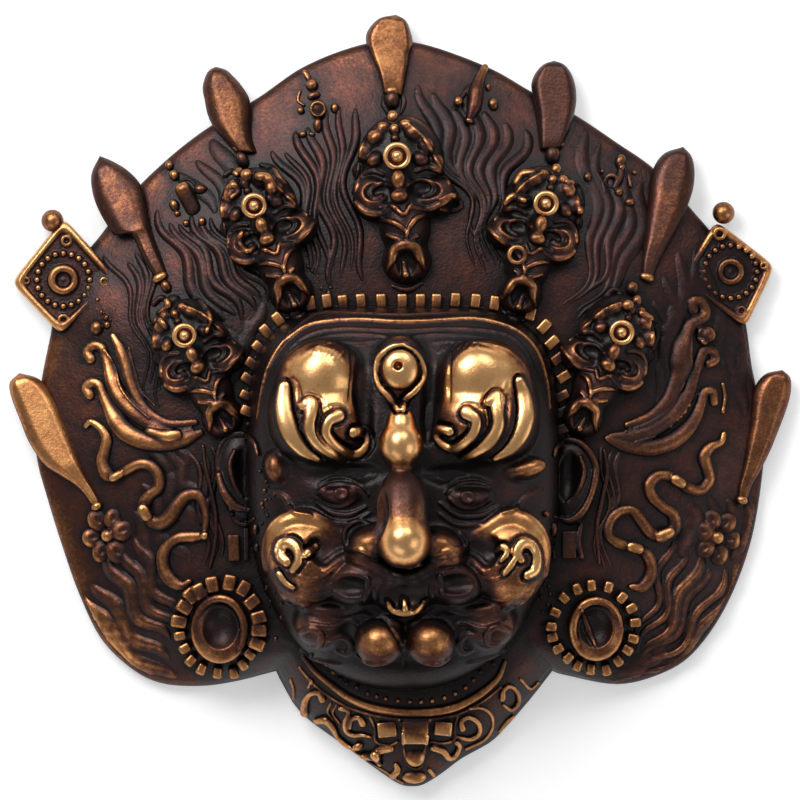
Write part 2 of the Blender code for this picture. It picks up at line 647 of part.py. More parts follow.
def make_skull(name, ring_place, mouth_place, half_width, carving):
    """One skull of the crown, with its brow ring, sockets, cheeks and fangs."""
    length, heading = toward(ring_place, mouth_place)
    turn = heading + 90

    def at(across, along):
        return local_place(ring_place, turn, across, along)

    top = SKULL_HEIGHT
    cranium = (at(0, 2.2), (half_width, SKULL_HALF_LENGTH), top)
    jaw = (at(0, 0.72 * length), (0.62 * half_width, 0.55 * length), 0.8 * top)
    boss(name + "_cranium", *cranium, carving, turn, 10, 6)
    boss(name + "_jaw", *jaw, carving, turn, 8, 4)
    ring = (SKULL_RING_RADIUS, SKULL_RING_RADIUS)
    pearl = (SKULL_PEARL_RADIUS, SKULL_PEARL_RADIUS)
    tablet(name + "_ring", at(0, 0), ring, 0, top + SKULL_RING_RISE, carving, sides=8)
    tablet(name + "_pearl", at(0, 0), pearl, 0, top + SKULL_PEARL_RISE, carving, sides=6)
    for side in (-1, 1):
        brow = [
            at(side * 1.6, 0.34 * length), at(side * 0.45 * half_width, 0.2 * length),
            at(side * 0.85 * half_width, 0.42 * length),
        ]
        rises = [boss_rise(point, *cranium, turn) for point in brow]
        ridge(
            f"{name}_brow_{side}", brow, SKULL_BROW_HALF_WIDTHS, SKULL_RIDGE_HEIGHT, carving,
            rises, BOSS_ROOT,
        )
        fang = [at(0, 0.88 * length), at(side * 3.2, 0.98 * length), at(side * 5.0, 1.22 * length)]
        rises = [boss_rise(point, *jaw, turn) for point in fang]
        ridge(
            f"{name}_fang_{side}", fang, SKULL_FANG_HALF_WIDTHS, SKULL_RIDGE_HEIGHT, carving,
            rises, BOSS_ROOT,
        )
    nose = at(0, 0.5 * length)
    boss(name + "_nose", nose, SKULL_NOSE, top + SKULL_NOSE_RISE, carving, turn, 6, 4)
    boss(name + "_tongue", at(0, 1.15 * length), SKULL_TONGUE, 0.6 * top, carving, turn, 6, 4)
    for label, (above, half_sizes, height) in SKULL_BEADS.items():
        boss(f"{name}_bead_{label}", at(0, -above), half_sizes, height, carving, turn, 6, 4)


def make_medallion(name, place, side, turn, carving):
    """A square plaque with a raised border, a ring of beads and a ringed boss."""
    thickness = drawn(MEDALLION_THICKNESS)
    border = drawn(MEDALLION_BORDER)
    bm = bmesh.new()
    bmesh.ops.create_cube(bm, size=1)
    bmesh.ops.scale(bm, vec=(side, side, thickness), verts=bm.verts)
    bm.faces.ensure_lookup_table()
    top = max(bm.faces, key=lambda face: face.calc_center_median().z)
    bmesh.ops.inset_region(bm, faces=[top], thickness=border, depth=0)
    bmesh.ops.translate(bm, verts=top.verts, vec=(0, 0, -border))
    base = lean_matrix(place, thickness / 2 + MEDALLION_LIFT, turn)
    bm.transform(base)
    hide(new_object("medallion_" + name, mesh_from(bm, name), carving))
    floor = thickness / 2 - border
    studs = [(0, 0, *MEDALLION_RING, 8), (0, 0, *MEDALLION_PEARL, 6)]
    for i in range(MEDALLION_STUDS):
        angle = 2 * math.pi * i / MEDALLION_STUDS
        across = MEDALLION_STUD_CIRCLE * math.cos(angle)
        along = MEDALLION_STUD_CIRCLE * math.sin(angle)
        studs.append((across, along, *MEDALLION_STUD, 4))
    corner = side / 2 - MEDALLION_CORNER_INSET
    for across, along in ((1, 1), (1, -1), (-1, 1), (-1, -1)):
        studs.append((across * corner, along * corner, *MEDALLION_CORNER, 5))
    for number, (across, along, radius, rise, sides) in enumerate(studs):
        stud = bmesh.new()
        bmesh.ops.create_cone(
            stud, cap_ends=True, segments=sides, radius1=radius, radius2=0.8 * radius, depth=rise + 1
        )
        stud.transform(base @ Matrix.Translation((across, along, floor + (rise - 1) / 2)))
        label = f"stud_{name}_{number}"
        hide(new_object(label, mesh_from(stud, label), carving))


def lean_matrix(place, height, turn=0):
    """Matrix of a flat piece on the front, leaning some of the way the front leans."""
    step = 4.0
    x, y = place
    share = LEAN_SHARE / (2 * step)
    slope_x = share * float(front_height(x + step, y) - front_height(x - step, y))
    slope_y = share * float(front_height(x, y + step) - front_height(x, y - step))
    normal = Vector((-slope_x, -slope_y, 1)).normalized()
    tilt = normal.to_track_quat("Z", "Y").to_matrix().to_4x4()
    spin = Matrix.Rotation(math.radians(turn), 4, "Z")
    heading = Matrix.Rotation(-tilt.to_euler().z, 4, "Z")
    shift = Matrix.Translation((x, y, float(front_height(x, y))))
    return shift @ tilt @ heading @ Matrix.Translation((0, 0, height)) @ spin


def make_ear_disc(name, place, radius, carving):
    """A dished disc in the ear lobe, in a ring with petals round it."""
    outline = []
    for i in range(2 * DISC_PETALS):
        reach = DISC_PETAL_CIRCLE + DISC_PETAL_RADIUS * (0.7 if i % 2 else -0.6)
        angle = math.pi * i / DISC_PETALS
        outline.append((place[0] + reach * math.cos(angle), place[1] + reach * math.sin(angle)))
    bm = bmesh.new()
    low = [bm.verts.new((x, y, -SINK)) for x, y in outline]
    bottom = bm.faces.new(low)
    extruded = bmesh.ops.extrude_face_region(bm, geom=[bottom])
    raised = [item for item in extruded["geom"] if isinstance(item, bmesh.types.BMVert)]
    bmesh.ops.translate(bm, verts=raised, vec=(0, 0, SINK + DISC_HEIGHT))
    carve(f"petals_{name}", mesh_from(bm, name), carving)
    ring = [
        (place[0] + radius * math.cos(a), place[1] + radius * math.sin(a))
        for a in np.linspace(0, 2 * math.pi, 13)[:-1]
    ]
    widths = [DISC_RING_HALF_WIDTH] * len(ring)
    lifts = [DISC_RING_LIFT] * len(ring)
    ridge(f"disc_ring_{name}", ring, widths, DISC_RING_HEIGHT, carving, lifts, closed=True)


def knob(name, place, radius, carving):
    """A round knob that stands out past the plate's edge behind a medallion."""
    bm = bmesh.new()
    bmesh.ops.create_uvsphere(bm, u_segments=8, v_segments=6, radius=radius)
    bm.transform(Matrix.Translation((*place, radius + KNOB_CLEARANCE)))
    hide(new_object("knob_" + name, mesh_from(bm, name), carving))


def make_flower(name, place, reach, carving):
    """A knot shaped as a flower: a boss with petals round it."""
    boss(f"flower_{name}_boss", place, (FLOWER_BOSS_RADIUS, FLOWER_BOSS_RADIUS), FLOWER_BOSS_HEIGHT, carving)
    for i in range(FLOWER_PETALS):
        angle = 2 * math.pi * i / FLOWER_PETALS + 0.6
        petal = (
            place[0] + 0.66 * reach * math.cos(angle), place[1] + 0.66 * reach * math.sin(angle),
        )
        bead(
            f"flower_{name}_petal_{i}", petal, (0.38 * reach, 0.3 * reach), FLOWER_PETAL_HEIGHT, carving,
            math.degrees(angle),
        )


def make_hair(carving):
    """Strands combed up the crest and swept down beside the cheeks."""
    half_width = drawn(STRAND_WIDTH) / 2
    for number, (degrees, start) in enumerate(CREST_STRANDS):
        angle = math.radians(degrees)
        near = float(oval_radius(angle))
        far = float(outline_radius(angle))
        route = []
        for step in range(STRAND_STEPS + 1):
            part = step / STRAND_STEPS
            share = start + (STRAND_END - start) * part
            reach = far + (near - far) * share
            sway = STRAND_WAVE * math.sin(2 * math.pi * STRAND_WAVES * part * start + number)
            route.append((
                HUB[0] + reach * math.cos(angle) - sway * math.sin(angle),
                HUB[1] + reach * math.sin(angle) + sway * math.cos(angle),
            ))
        ridge(f"strand_{number}", route, tapered(route, half_width, 0.5), STRAND_HEIGHT, carving)
    for name, (first, last) in SIDE_FALLS.items():
        for strand in range(FALL_STRANDS):
            mix = strand / (FALL_STRANDS - 1)
            route = [
                (a[0] + (b[0] - a[0]) * mix, a[1] + (b[1] - a[1]) * mix)
                for a, b in zip(first, last)
            ]
            ridge(f"fall_{name}_{strand}", route, tapered(route, half_width, 0.5), STRAND_HEIGHT, carving)


def beads_round_face(name, count, ring, angles, diameter, sides, carving):
    """A row of beads that follows the face's edge between two angles in degrees."""
    fine = np.radians(np.linspace(*angles, 400))
    reach = oval_radius(fine) * ring
    x = HUB[0] + reach * np.cos(fine)
    y = HUB[1] + reach * np.sin(fine)
    run = np.concatenate([[0], np.cumsum(np.hypot(np.diff(x), np.diff(y)))])
    for number, along in enumerate(np.linspace(0, run[-1], count)):
        place = (float(np.interp(along, run, x)), float(np.interp(along, run, y)))
        radius = drawn(diameter) / 2
        turn = math.degrees(math.atan2(place[1] - HUB[1], place[0] - HUB[0])) + 45
        tablet(f"{name}_{number}", place, (radius, radius), -SINK, 1.2 * radius, carving, turn, sides)


def make_face(carving):
    """Brows, eyes, nose, cheeks, mouth and chin."""
    for name, (place, half_sizes, height, turn, sides, rings) in FACE_BOSSES.items():
        boss(name, place, half_sizes, height, carving, turn, sides, rings)
    for name, (route, half_width, height, carrier) in FACE_RIDGES.items():
        rises = None
        if carrier:
            middle, half_sizes, top, turn, _, _ = FACE_BOSSES[carrier]
            rises = [boss_rise(place, middle, half_sizes, top, turn) for place in route]
        root = BOSS_ROOT if carrier else SINK
        ridge(name, route, tapered(route, half_width), height, carving, rises, root)


def make_side_carving(carving):
    """Flames, ribbons, flowers, ears and ear discs beside the face."""
    for name, route in FLAMES.items():
        ridge("flame_" + name, route, FLAME_HALF_WIDTHS, FLAME_HEIGHT, carving)
    for name, route in RIBBONS.items():
        ridge("ribbon_" + name, route, [RIBBON_HALF_WIDTH] * len(route), RIBBON_HEIGHT, carving)
    for name, (place, reach) in FLOWERS.items():
        make_flower(name, place, reach, carving)
    for name, route in EAR_RIMS.items():
        ridge("ear_rim_" + name, route, tapered(route, EAR_RIM[0], 0.8), EAR_RIM[1], carving)
    for name, route in EAR_FOLDS.items():
        ridge("ear_fold_" + name, route, tapered(route, EAR_FOLD[0]), EAR_FOLD[1], carving)
    for name, route in EAR_BARS.items():
        ridge("ear_bar_" + name, route, [EAR_BAR[0]] * len(route), EAR_BAR[1], carving)
    for name, (place, radius) in EAR_DISCS.items():
        make_ear_disc(name, place, radius, carving)


def make_bib(carving):
    """The beaded collar and the jewelled bib under the chin."""
    beads_round_face(
        "bib_bead", BIB_BEADS, BIB_BEAD_RING, BIB_BEAD_ANGLES, BIB_BEAD_DIAMETER, 5, carving
    )
    for name, route in BIB_RIDGES.items():
        ridge("bib_" + name, route, tapered(route, BIB_RIDGE[0], 0.7), BIB_RIDGE[1], carving)
    for name, (place, half_sizes, turn) in BIB_TILES.items():
        tablet("bib_" + name, place, half_sizes, -SINK, BIB_TILE_HEIGHT, carving, turn)


def make_crown(carving):
    """Blades, skulls, medallions, hair ornaments and the beaded band."""
    for name, (collar, tip, half_width) in BLADES.items():
        make_blade(name, collar, tip, half_width, carving)
    for name, (ring_place, mouth_place, half_width) in SKULLS.items():
        make_skull("skull_" + name, ring_place, mouth_place, half_width, carving)
    for name, (place, side, turn) in MEDALLIONS.items():
        make_medallion(name, place, side, turn, carving)
    for name, (place, radius) in MEDALLION_KNOBS.items():
        knob(name, place, radius, carving)
    for name, (place, half_sizes, turn) in CREST_ORNAMENTS.items():
        bead("ornament_" + name, place, half_sizes, CREST_ORNAMENT_HEIGHT, carving, turn)
    beads_round_face(
        "crown_bead", CROWN_BEADS, CROWN_BEAD_RING, CROWN_BEAD_ANGLES, CROWN_BEAD_DIAMETER, 4, carving
    )


def close_tears(bm):
    """Fans new faces over the few spots where a thinned mesh isn't closed."""
    for _ in range(TEAR_ROUNDS):
        torn = {face for edge in bm.edges if len(edge.link_faces) != 2 for face in edge.link_faces}
        if not torn:
            break
        bmesh.ops.delete(bm, geom=list(torn), context="FACES")
        rims = [edge for edge in bm.edges if len(edge.link_faces) == 1]
        filled = bmesh.ops.holes_fill(bm, edges=rims, sides=0)
        bmesh.ops.poke(bm, faces=filled["faces"])


def join_carving(mask, carving):
    """One casting: the carving united with the plate, thinned, and closed."""
    join = mask.modifiers.new("carving", "BOOLEAN")
    join.operation = "UNION"
    join.operand_type = "COLLECTION"
    join.collection = carving
    join.solver = "EXACT"
    thin = mask.modifiers.new("fewer faces", "DECIMATE")
    thin.ratio = FACES_KEPT
    evaluated = mask.evaluated_get(bpy.context.evaluated_depsgraph_get())
    bm = bmesh.new()
    bm.from_mesh(evaluated.to_mesh())
    evaluated.to_mesh_clear()
    close_tears(bm)
    mask.modifiers.clear()
    plain = mask.data
    mask.data = mesh_from(bm, "mask")
    bpy.data.meshes.remove(plain)


def bronze():
    """Cast bronze under a dark patina."""
    material = bpy.data.materials.new("patinated cast bronze")
    material.use_nodes = True
    shader = material.node_tree.nodes["Principled BSDF"]
    shader.inputs["Base Color"].default_value = BRONZE_COLOUR
    shader.inputs["Metallic"].default_value = 1.0
    shader.inputs["Roughness"].default_value = BRONZE_ROUGHNESS
    return material


def main():
    clear_scene()
    model = new_collection("Bhairava mask")
    carving = new_collection("Carving")
    mask = make_shell(model)
    make_crown(carving)
    make_hair(carving)
    make_face(carving)
    make_side_carving(carving)
    make_bib(carving)
    join_carving(mask, carving)
    mask.data.materials.append(bronze())
    mask.data.shade_smooth()
    mask.data.set_sharp_from_angle(angle=math.radians(40))


main()
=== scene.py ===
"""Looks of a cast bronze Bhairava wall mask, laid out as an add-on.

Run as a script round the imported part. The mask lies on its back: z = 0 is the plane of
its rim, the crest is towards +Y and the nose towards +Z. Carving is drawn in millimetres
on that plane, from the middle of the mask. Forms that blend into each other, as wax does
under a tool, are modelled as clay: distances on a grid that are skinned at the end.
"""
import json
import math

import bmesh
import bpy
import numpy as np
from mathutils import Matrix, Vector

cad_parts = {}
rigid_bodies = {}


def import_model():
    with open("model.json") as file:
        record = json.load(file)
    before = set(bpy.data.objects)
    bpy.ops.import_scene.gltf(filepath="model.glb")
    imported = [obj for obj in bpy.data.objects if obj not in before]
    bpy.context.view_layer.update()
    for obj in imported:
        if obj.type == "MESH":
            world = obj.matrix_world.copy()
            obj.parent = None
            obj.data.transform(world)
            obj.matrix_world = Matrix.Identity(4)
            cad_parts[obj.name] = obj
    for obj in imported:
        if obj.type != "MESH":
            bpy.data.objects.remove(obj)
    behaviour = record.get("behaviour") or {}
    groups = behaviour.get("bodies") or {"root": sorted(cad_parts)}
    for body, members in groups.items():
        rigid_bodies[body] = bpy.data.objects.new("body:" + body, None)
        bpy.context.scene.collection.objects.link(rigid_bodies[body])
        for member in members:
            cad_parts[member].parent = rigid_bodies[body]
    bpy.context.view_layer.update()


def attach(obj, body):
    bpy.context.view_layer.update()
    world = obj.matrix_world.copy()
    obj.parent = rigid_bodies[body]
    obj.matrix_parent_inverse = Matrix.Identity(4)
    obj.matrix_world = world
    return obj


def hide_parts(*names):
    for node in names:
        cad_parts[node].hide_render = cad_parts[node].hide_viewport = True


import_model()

bl_info = {
    "name": "Bhairava Mask",
    "version": (1, 0, 0),
    "blender": (4, 5, 0),
    "location": "3D View > Sidebar > Bhairava Mask",
    "description": "Models and finishes a cast bronze wall mask of Bhairava",
    "category": "Add Mesh",
}

MM = 0.001
BODY = "root"
NODE = "mask"



def way(row):
    """Points in millimetres from a written row of them, each one across and up."""
    return [tuple(float(part) for part in place.split()) for place in row.split(",")]


# The plain form under the carving, as in the part
HUB = (1.0, -26.0)
FACE_HALF_WIDTH = 52.0
FACE_ABOVE_HUB = 57.0
FACE_BELOW_HUB = 70.0
FACE_POWER_ABOVE = 4.0
FACE_POWER_BELOW = 2.2
PLATE_CURVE = 1.8
FACE_CURVE = 2.5
RIM = 4.5
RISE = 18.5
DOME = 27.0
WALL = 4.0
RIM_LAND = 7.0

# The plate's edge from the left jaw corner, round the crest, to the right jaw corner
PLATE_EDGE = way("-41.3 -90.3, -54.7 -93.7, -66.7 -95.3, -79.7 -94.3, -89.7 -89.3, -99.7 -79.3, "
                 "-107 -64.3, -112.3 -49.3, -117 -34.3, -121 -19.3, -121.3 -6, -119 9, "
                 "-116.3 22.3, -113.3 39, -100.7 53.7, -90 68, -77 80.7, -64 90.7, -47.3 100.7, "
                 "-32.7 110.7, -16.7 117.3, -3.3 119.7, 10 118, 29.7 110.7, 43.3 103, 58.3 95, "
                 "72.3 85.7, 85 76.7, 97.3 63.3, 108.3 49, 114.7 28, 117.3 10.7, 121.3 -9.3, "
                 "120.3 -28.3, 116.3 -49.3, 108.3 -69.3, 97.7 -84.3, 86.7 -91.3, 72.3 -94.7, "
                 "55.3 -91.7, 50.7 -90.3")
# The bib's edge from the right jaw corner, round its point, to the left one
BIB_EDGE = way("50.7 -90.3, 43.7 -99.3, 35 -109.3, 29.7 -114.3, 20.7 -119.3, 14 -124.3, 8 -128, "
               "4 -128.7, 0 -128, -6 -124.3, -19.7 -114.3, -33 -104.3, -39.3 -94.3, "
               "-41.3 -90.3")


def link_object(name, data):
    """A new object in the scene's own collection."""
    item = bpy.data.objects.new(name, data)
    bpy.context.scene.collection.objects.link(item)
    return item


def pick(*pieces):
    """Selects only these pieces; the first one is active."""
    bpy.ops.object.select_all(action="DESELECT")
    for piece in pieces:
        piece.select_set(True)
    if pieces:
        bpy.context.view_layer.objects.active = pieces[0]


def smooth_piece(name, bm):
    """A smooth-shaded object from a finished bmesh, which is freed."""
    mesh = bpy.data.meshes.new(name)
    bm.to_mesh(mesh)
    bm.free()
    mesh.shade_smooth()
    return link_object(name, mesh)


def spread(values, count):
    """Values given along a route, read off at an even number of places on it."""
    values = np.atleast_1d(values)
    return np.interp(np.linspace(0, 1, count), np.linspace(0, 1, len(values)), values)


def smooth_route(points, steps):
    """Points along a Catmull-Rom curve through the given ones, ends included."""
    knots = [np.array(point, float) for point in points]
    knots = [2 * knots[0] - knots[1]] + knots + [2 * knots[-1] - knots[-2]]
    run = []
    for before, start, end, after in zip(knots, knots[1:], knots[2:], knots[3:]):
        for step in range(steps):
            t = step / steps
            bend = 2 * before - 5 * start + 4 * end - after
            twist = 3 * start - before - 3 * end + after
            run.append(start + 0.5 * ((end - before) * t + bend * t * t + twist * t ** 3))
    run.append(knots[-2])
    return np.array(run)


def even_route(points, spacing):
    """The same curve with its points an even distance apart."""
    fine = smooth_route(points, 24)
    gaps = np.hypot(*np.diff(fine[:, :2], axis=0).T)
    run = np.concatenate([[0], np.cumsum(gaps)])
    count = max(3, int(round(run[-1] / spacing)) + 1)
    along = np.linspace(0, run[-1], count)
    return np.stack([np.interp(along, run, fine[:, k]) for k in range(fine.shape[1])], 1)


def outline_points(steps):
    """The mask's edge as seen from the front, once round."""
    plate = smooth_route(PLATE_EDGE, steps)[:-1]
    bib = smooth_route(BIB_EDGE, max(1, steps // 2))[:-1]
    return np.concatenate([plate, bib])


def oval_radius(angle):
    """The face's reach from the hub, at angles in radians."""
    above = np.sin(angle) > 0
    power = np.where(above, FACE_POWER_ABOVE, FACE_POWER_BELOW)
    half_height = np.where(above, FACE_ABOVE_HUB, FACE_BELOW_HUB)
    across = np.abs(np.cos(angle) / FACE_HALF_WIDTH) ** power
    along = np.abs(np.sin(angle) / half_height) ** power
    return (across + along) ** (-1 / power)


def outline_table():
    """The outline as angles about the hub, in order, and the reach at each."""
    offset = outline_points(1) - np.array(HUB)
    angles = np.arctan2(offset[:, 1], offset[:, 0])
    order = np.argsort(angles)
    return angles[order], np.hypot(offset[:, 0], offset[:, 1])[order]


OUTLINE_ANGLES, OUTLINE_REACH = outline_table()


def outline_radius(angle):
    """The outline's reach from the hub, at angles in radians."""
    return np.interp(angle, OUTLINE_ANGLES, OUTLINE_REACH, period=2 * math.pi)


def plate_height(share):
    """Height of the plate's front from its edge, share 0, to the face, share 1."""
    return RIM + RISE * (1 - (1 - share) ** PLATE_CURVE)


def face_height(share):
    """Height of the face's own dome from the hub, share 0, to its edge, share 1."""
    return RIM + RISE + DOME * np.sqrt(np.maximum(0, 1 - share ** FACE_CURVE))


def polar(x, y):
    """Reach and angle of places about the hub."""
    away_x = np.asarray(x, float) - HUB[0]
    away_y = np.asarray(y, float) - HUB[1]
    return np.hypot(away_x, away_y), np.arctan2(away_y, away_x)


def front_height(x, y):
    """Height of the mask's plain front, under the carving."""
    reach, angle = polar(x, y)
    oval = oval_radius(angle)
    edge = outline_radius(angle)
    share = np.clip((edge - reach) / (edge - oval), 0, 1)
    return np.where(reach < oval, face_height(np.minimum(reach / oval, 1)), plate_height(share))


def ground_height(x, y):
    """Height of the plate alone, level across the face."""
    reach, angle = polar(x, y)
    oval = oval_radius(angle)
    edge = outline_radius(angle)
    return plate_height(np.clip((edge - reach) / (edge - oval), 0, 1))

# How finely the pieces are modelled, in millimetres and counts
PLATE_STEPS = 6
DOME_GAP = 2.5
DOME_RINGS = 14
BACK_RINGS = 22
FRONT_RINGS = 34
RIM_ROUND = 1.6
RIM_PROFILE = ((0.9, 0.0), (0.35, 0.25), (0.0, 0.95), (0.0, 2.6), (0.15, 3.8), (0.7, 4.6))
FACE_STEP = 0.5
FACE_SKIRT = 1.6
FACE_DEPTH = 3.2
# The face piece's lowest height, and its reach as a share of the oval
SKIN_FLOOR = 18.5
SKIN_REACH = 1.06
FACE_TRIANGLES = 190000
# Pieces skinned from clay, and the share of their triangles that they keep
RELIEFS = ("skull", "medallion", "side", "ear", "bib", "ornament", "casting")
RELIEF_SHARE = 0.58
# Width of the floor that the picture takes in, in metres
PICTURE_WIDTH = 0.26667


def plate_rings():
    """Rings of the plate's skin, from the back's middle out and round to the front's."""
    hub = np.array(HUB)
    outline = outline_points(PLATE_STEPS)
    offset = outline - hub
    reach = np.hypot(offset[:, 0], offset[:, 1])[:, None]
    angle = np.arctan2(offset[:, 1], offset[:, 0])
    oval = hub + oval_radius(angle)[:, None] * offset / reach
    gap = np.hypot(*(outline - oval).T)[:, None]
    inner_oval = oval + (hub - oval) * (WALL / np.hypot(*(oval - hub).T))[:, None]
    land = np.minimum(RIM_LAND, 0.6 * gap) / (gap + WALL)

    def level(places, height):
        height = np.broadcast_to(np.asarray(height, float).reshape(-1), len(outline))
        return np.column_stack([places, height])

    rings = []
    for share in np.linspace(0.04, 1.0, DOME_RINGS):
        rings.append(level(hub + (inner_oval - hub) * share, face_height(share) - WALL - DOME_GAP))
    for step in np.linspace(1.0, 0.0, BACK_RINGS)[1:]:
        share = land + (1 - land) * step
        rings.append(level(
            outline + (inner_oval - outline) * share, plate_height(share[:, 0]) - WALL
        ))
    rings.append(level(outline + (inner_oval - outline) * (land - 0.04), 0.0))
    for inset, height in RIM_PROFILE:
        rings.append(level(outline + (oval - outline) * inset / gap, height))
    for share in np.linspace(0.0, 1.0, FRONT_RINGS)[1:]:
        inset = RIM_ROUND / gap + (1 - RIM_ROUND / gap) * share ** 1.25
        rings.append(level(outline + (oval - outline) * inset, plate_height(inset[:, 0])))
    for share in np.linspace(1.0, 0.04, DOME_RINGS):
        drop = DOME_GAP * min(1, (1 - share) / 0.03)
        rings.append(level(hub + (oval - hub) * share, face_height(share) - drop))
    return rings


def ring_mesh(rings, low_pole, high_pole):
    """Vertices and faces of a skin drawn through closed rings and a pole at each end."""
    count = len(rings[0])
    places = np.concatenate([[low_pole], *rings, [high_pole]])
    faces = []
    for row in range(len(rings) - 1):
        base = 1 + row * count
        for i in range(count):
            after = (i + 1) % count
            faces.append((base + i, base + after, base + count + after, base + count + i))
    last = 1 + (len(rings) - 1) * count
    for i in range(count):
        after = (i + 1) % count
        faces.append((0, 1 + after, 1 + i))
        faces.append((last + i, last + after, len(places) - 1))
    return places, faces


def make_plate():
    """The hollow casting: flat rim, plate that rises to the face, open back."""
    rings = plate_rings()
    top = float(face_height(np.array(0.0)))
    places, faces = ring_mesh(
        rings, (*HUB, top - WALL - DOME_GAP), (*HUB, top - DOME_GAP)
    )
    bm = bmesh.new()
    verts = [bm.verts.new(place) for place in places * MM]
    for face in faces:
        bm.faces.new([verts[i] for i in face])
    bmesh.ops.recalc_face_normals(bm, faces=bm.faces)
    plate = smooth_piece("plate", bm)
    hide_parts(NODE)
    return ride_mask(plate)


class Clay:
    """A block of modelling clay: distances on an even grid, negative inside the form."""

    def __init__(self, low, high, step):
        self.low = np.array(low, float)
        self.step = step
        shape = np.ceil((np.array(high, float) - self.low) / step).astype(int) + 1
        self.field = np.full(shape, 50.0, np.float32)

    def window(self, low, high):
        """Index slices and open coordinate grids for a box, or None outside the block."""
        first = np.maximum(0, np.floor((np.array(low) - self.low) / self.step).astype(int))
        last = np.ceil((np.array(high) - self.low) / self.step).astype(int) + 1
        last = np.minimum(self.field.shape, last)
        if np.any(last <= first):
            return None
        axes = [
            (self.low[k] + self.step * np.arange(first[k], last[k])).astype(np.float32)
            for k in range(3)
        ]
        grids = (axes[0][:, None, None], axes[1][None, :, None], axes[2][None, None, :])
        return tuple(slice(first[k], last[k]) for k in range(3)), grids

    def merge(self, place, distance, soft, cut=False):
        """Adds or cuts a form, blending over the given softness."""
        held = self.field[place]
        if cut:
            distance = -distance
        gap = (distance - held) if cut else (held - distance)
        blend = np.maximum(soft - np.abs(distance - held), 0) / soft
        ease = blend * blend * soft * 0.25
        if cut:
            self.field[place] = np.where(gap > 0, distance, held) + ease
        else:
            self.field[place] = np.where(gap > 0, distance, held) - ease

    def ball(self, centre, radii, soft=1.0, turn=0.0, tip=0.0, cut=False):
        """A ball of three radii, turned about Z and then tipped about its own X, in degrees."""
        spin = Matrix.Rotation(math.radians(turn), 3, "Z")
        lean = Matrix.Rotation(math.radians(tip), 3, "X")
        frame_of = np.array((spin @ lean).transposed(), np.float32)
        reach = max(radii) + soft + 2 * self.step
        found = self.window(np.array(centre) - reach, np.array(centre) + reach)
        if not found:
            return
        place, (x, y, z) = found
        x, y, z = x - centre[0], y - centre[1], z - centre[2]
        local = [row[0] * x + row[1] * y + row[2] * z for row in frame_of]
        near = sum((part / radius) ** 2 for part, radius in zip(local, radii)) ** 0.5
        slope = sum((part / radius ** 2) ** 2 for part, radius in zip(local, radii)) ** 0.5
        self.merge(place, near * (near - 1) / np.maximum(slope, 1e-6), soft, cut)

    def box(self, centre, half, soft=0.3, turn=0.0, rounding=0.4):
        """A block with rounded edges, turned about Z in degrees."""
        reach = math.hypot(half[0], half[1]) + soft + 2 * self.step
        span = np.array((reach, reach, half[2] + soft + 2 * self.step))
        found = self.window(np.array(centre) - span, np.array(centre) + span)
        if not found:
            return
        place, (x, y, z) = found
        x, y, z = x - centre[0], y - centre[1], z - centre[2]
        cos, sin = math.cos(math.radians(turn)), math.sin(math.radians(turn))
        parts = (cos * x + sin * y, cos * y - sin * x, z)
        gaps = [np.abs(part) - (size - rounding) for part, size in zip(parts, half)]
        outside = np.sqrt(sum(np.maximum(gap, 0) ** 2 for gap in gaps))
        inside = np.minimum(np.maximum(np.maximum(gaps[0], gaps[1]), gaps[2]), 0)
        self.merge(place, (outside + inside - rounding).astype(np.float32), soft)

    def cord(self, route, radii, soft=0.6, flat=1.0, cut=False):
        """A round or flattened cord through points of (x, y, z)."""
        route = np.asarray(route, float)
        radii = np.broadcast_to(np.asarray(radii, float), len(route))
        reach = radii.max() + soft + 2 * self.step
        found = self.window(route.min(0) - reach, route.max(0) + reach)
        if not found:
            return
        place, grids = found
        shape = self.field[place].shape
        origin = [slot.start for slot in place]
        distance = np.full(shape, 50.0, np.float32)
        for start, end, thick, thin in zip(route, route[1:], radii, radii[1:]):
            margin = max(thick, thin) + soft + 2 * self.step
            own = self.window(np.minimum(start, end) - margin, np.maximum(start, end) + margin)
            if not own:
                continue
            spot, (x, y, z) = own
            inner = tuple(
                slice(spot[k].start - origin[k], spot[k].stop - origin[k]) for k in range(3)
            )
            span = end - start
            length = max(float(span @ span), 1e-9)
            x, y, z = x - start[0], y - start[1], z - start[2]
            t = np.clip((x * span[0] + y * span[1] + z * span[2]) / length, 0, 1)
            dx, dy = x - t * span[0], y - t * span[1]
            dz = (z - t * span[2]) / flat
            gap = np.sqrt(dx * dx + dy * dy + dz * dz) - (thick + (thin - thick) * t)
            distance[inner] = np.minimum(distance[inner], gap)
        self.merge(place, distance, soft, cut)

    def top(self, x, y):
        """Height of the clay's highest surface over each place."""
        i = (np.asarray(x, float) - self.low[0]) / self.step
        j = (np.asarray(y, float) - self.low[1]) / self.step
        i = np.clip(i, 0, self.field.shape[0] - 1.001)
        j = np.clip(j, 0, self.field.shape[1] - 1.001)
        total = 0.0
        for di in (0, 1):
            for dj in (0, 1):
                weight = np.abs(1 - di - (i % 1)) * np.abs(1 - dj - (j % 1))
                total = total + weight * self._column_top(i.astype(int) + di, j.astype(int) + dj)
        return total

    def _column_top(self, i, j):
        column = self.field[i, j]
        inside = column < 0
        count = column.shape[-1]
        last = count - 1 - np.argmax(inside[..., ::-1], axis=-1)
        last = np.where(inside.any(-1), np.minimum(last, count - 2), 0)
        here = np.take_along_axis(column, last[..., None], -1)[..., 0]
        over = np.take_along_axis(column, last[..., None] + 1, -1)[..., 0]
        part = np.clip(here / np.minimum(here - over, -1e-6), 0, 1)
        return self.low[2] + self.step * (last + part)

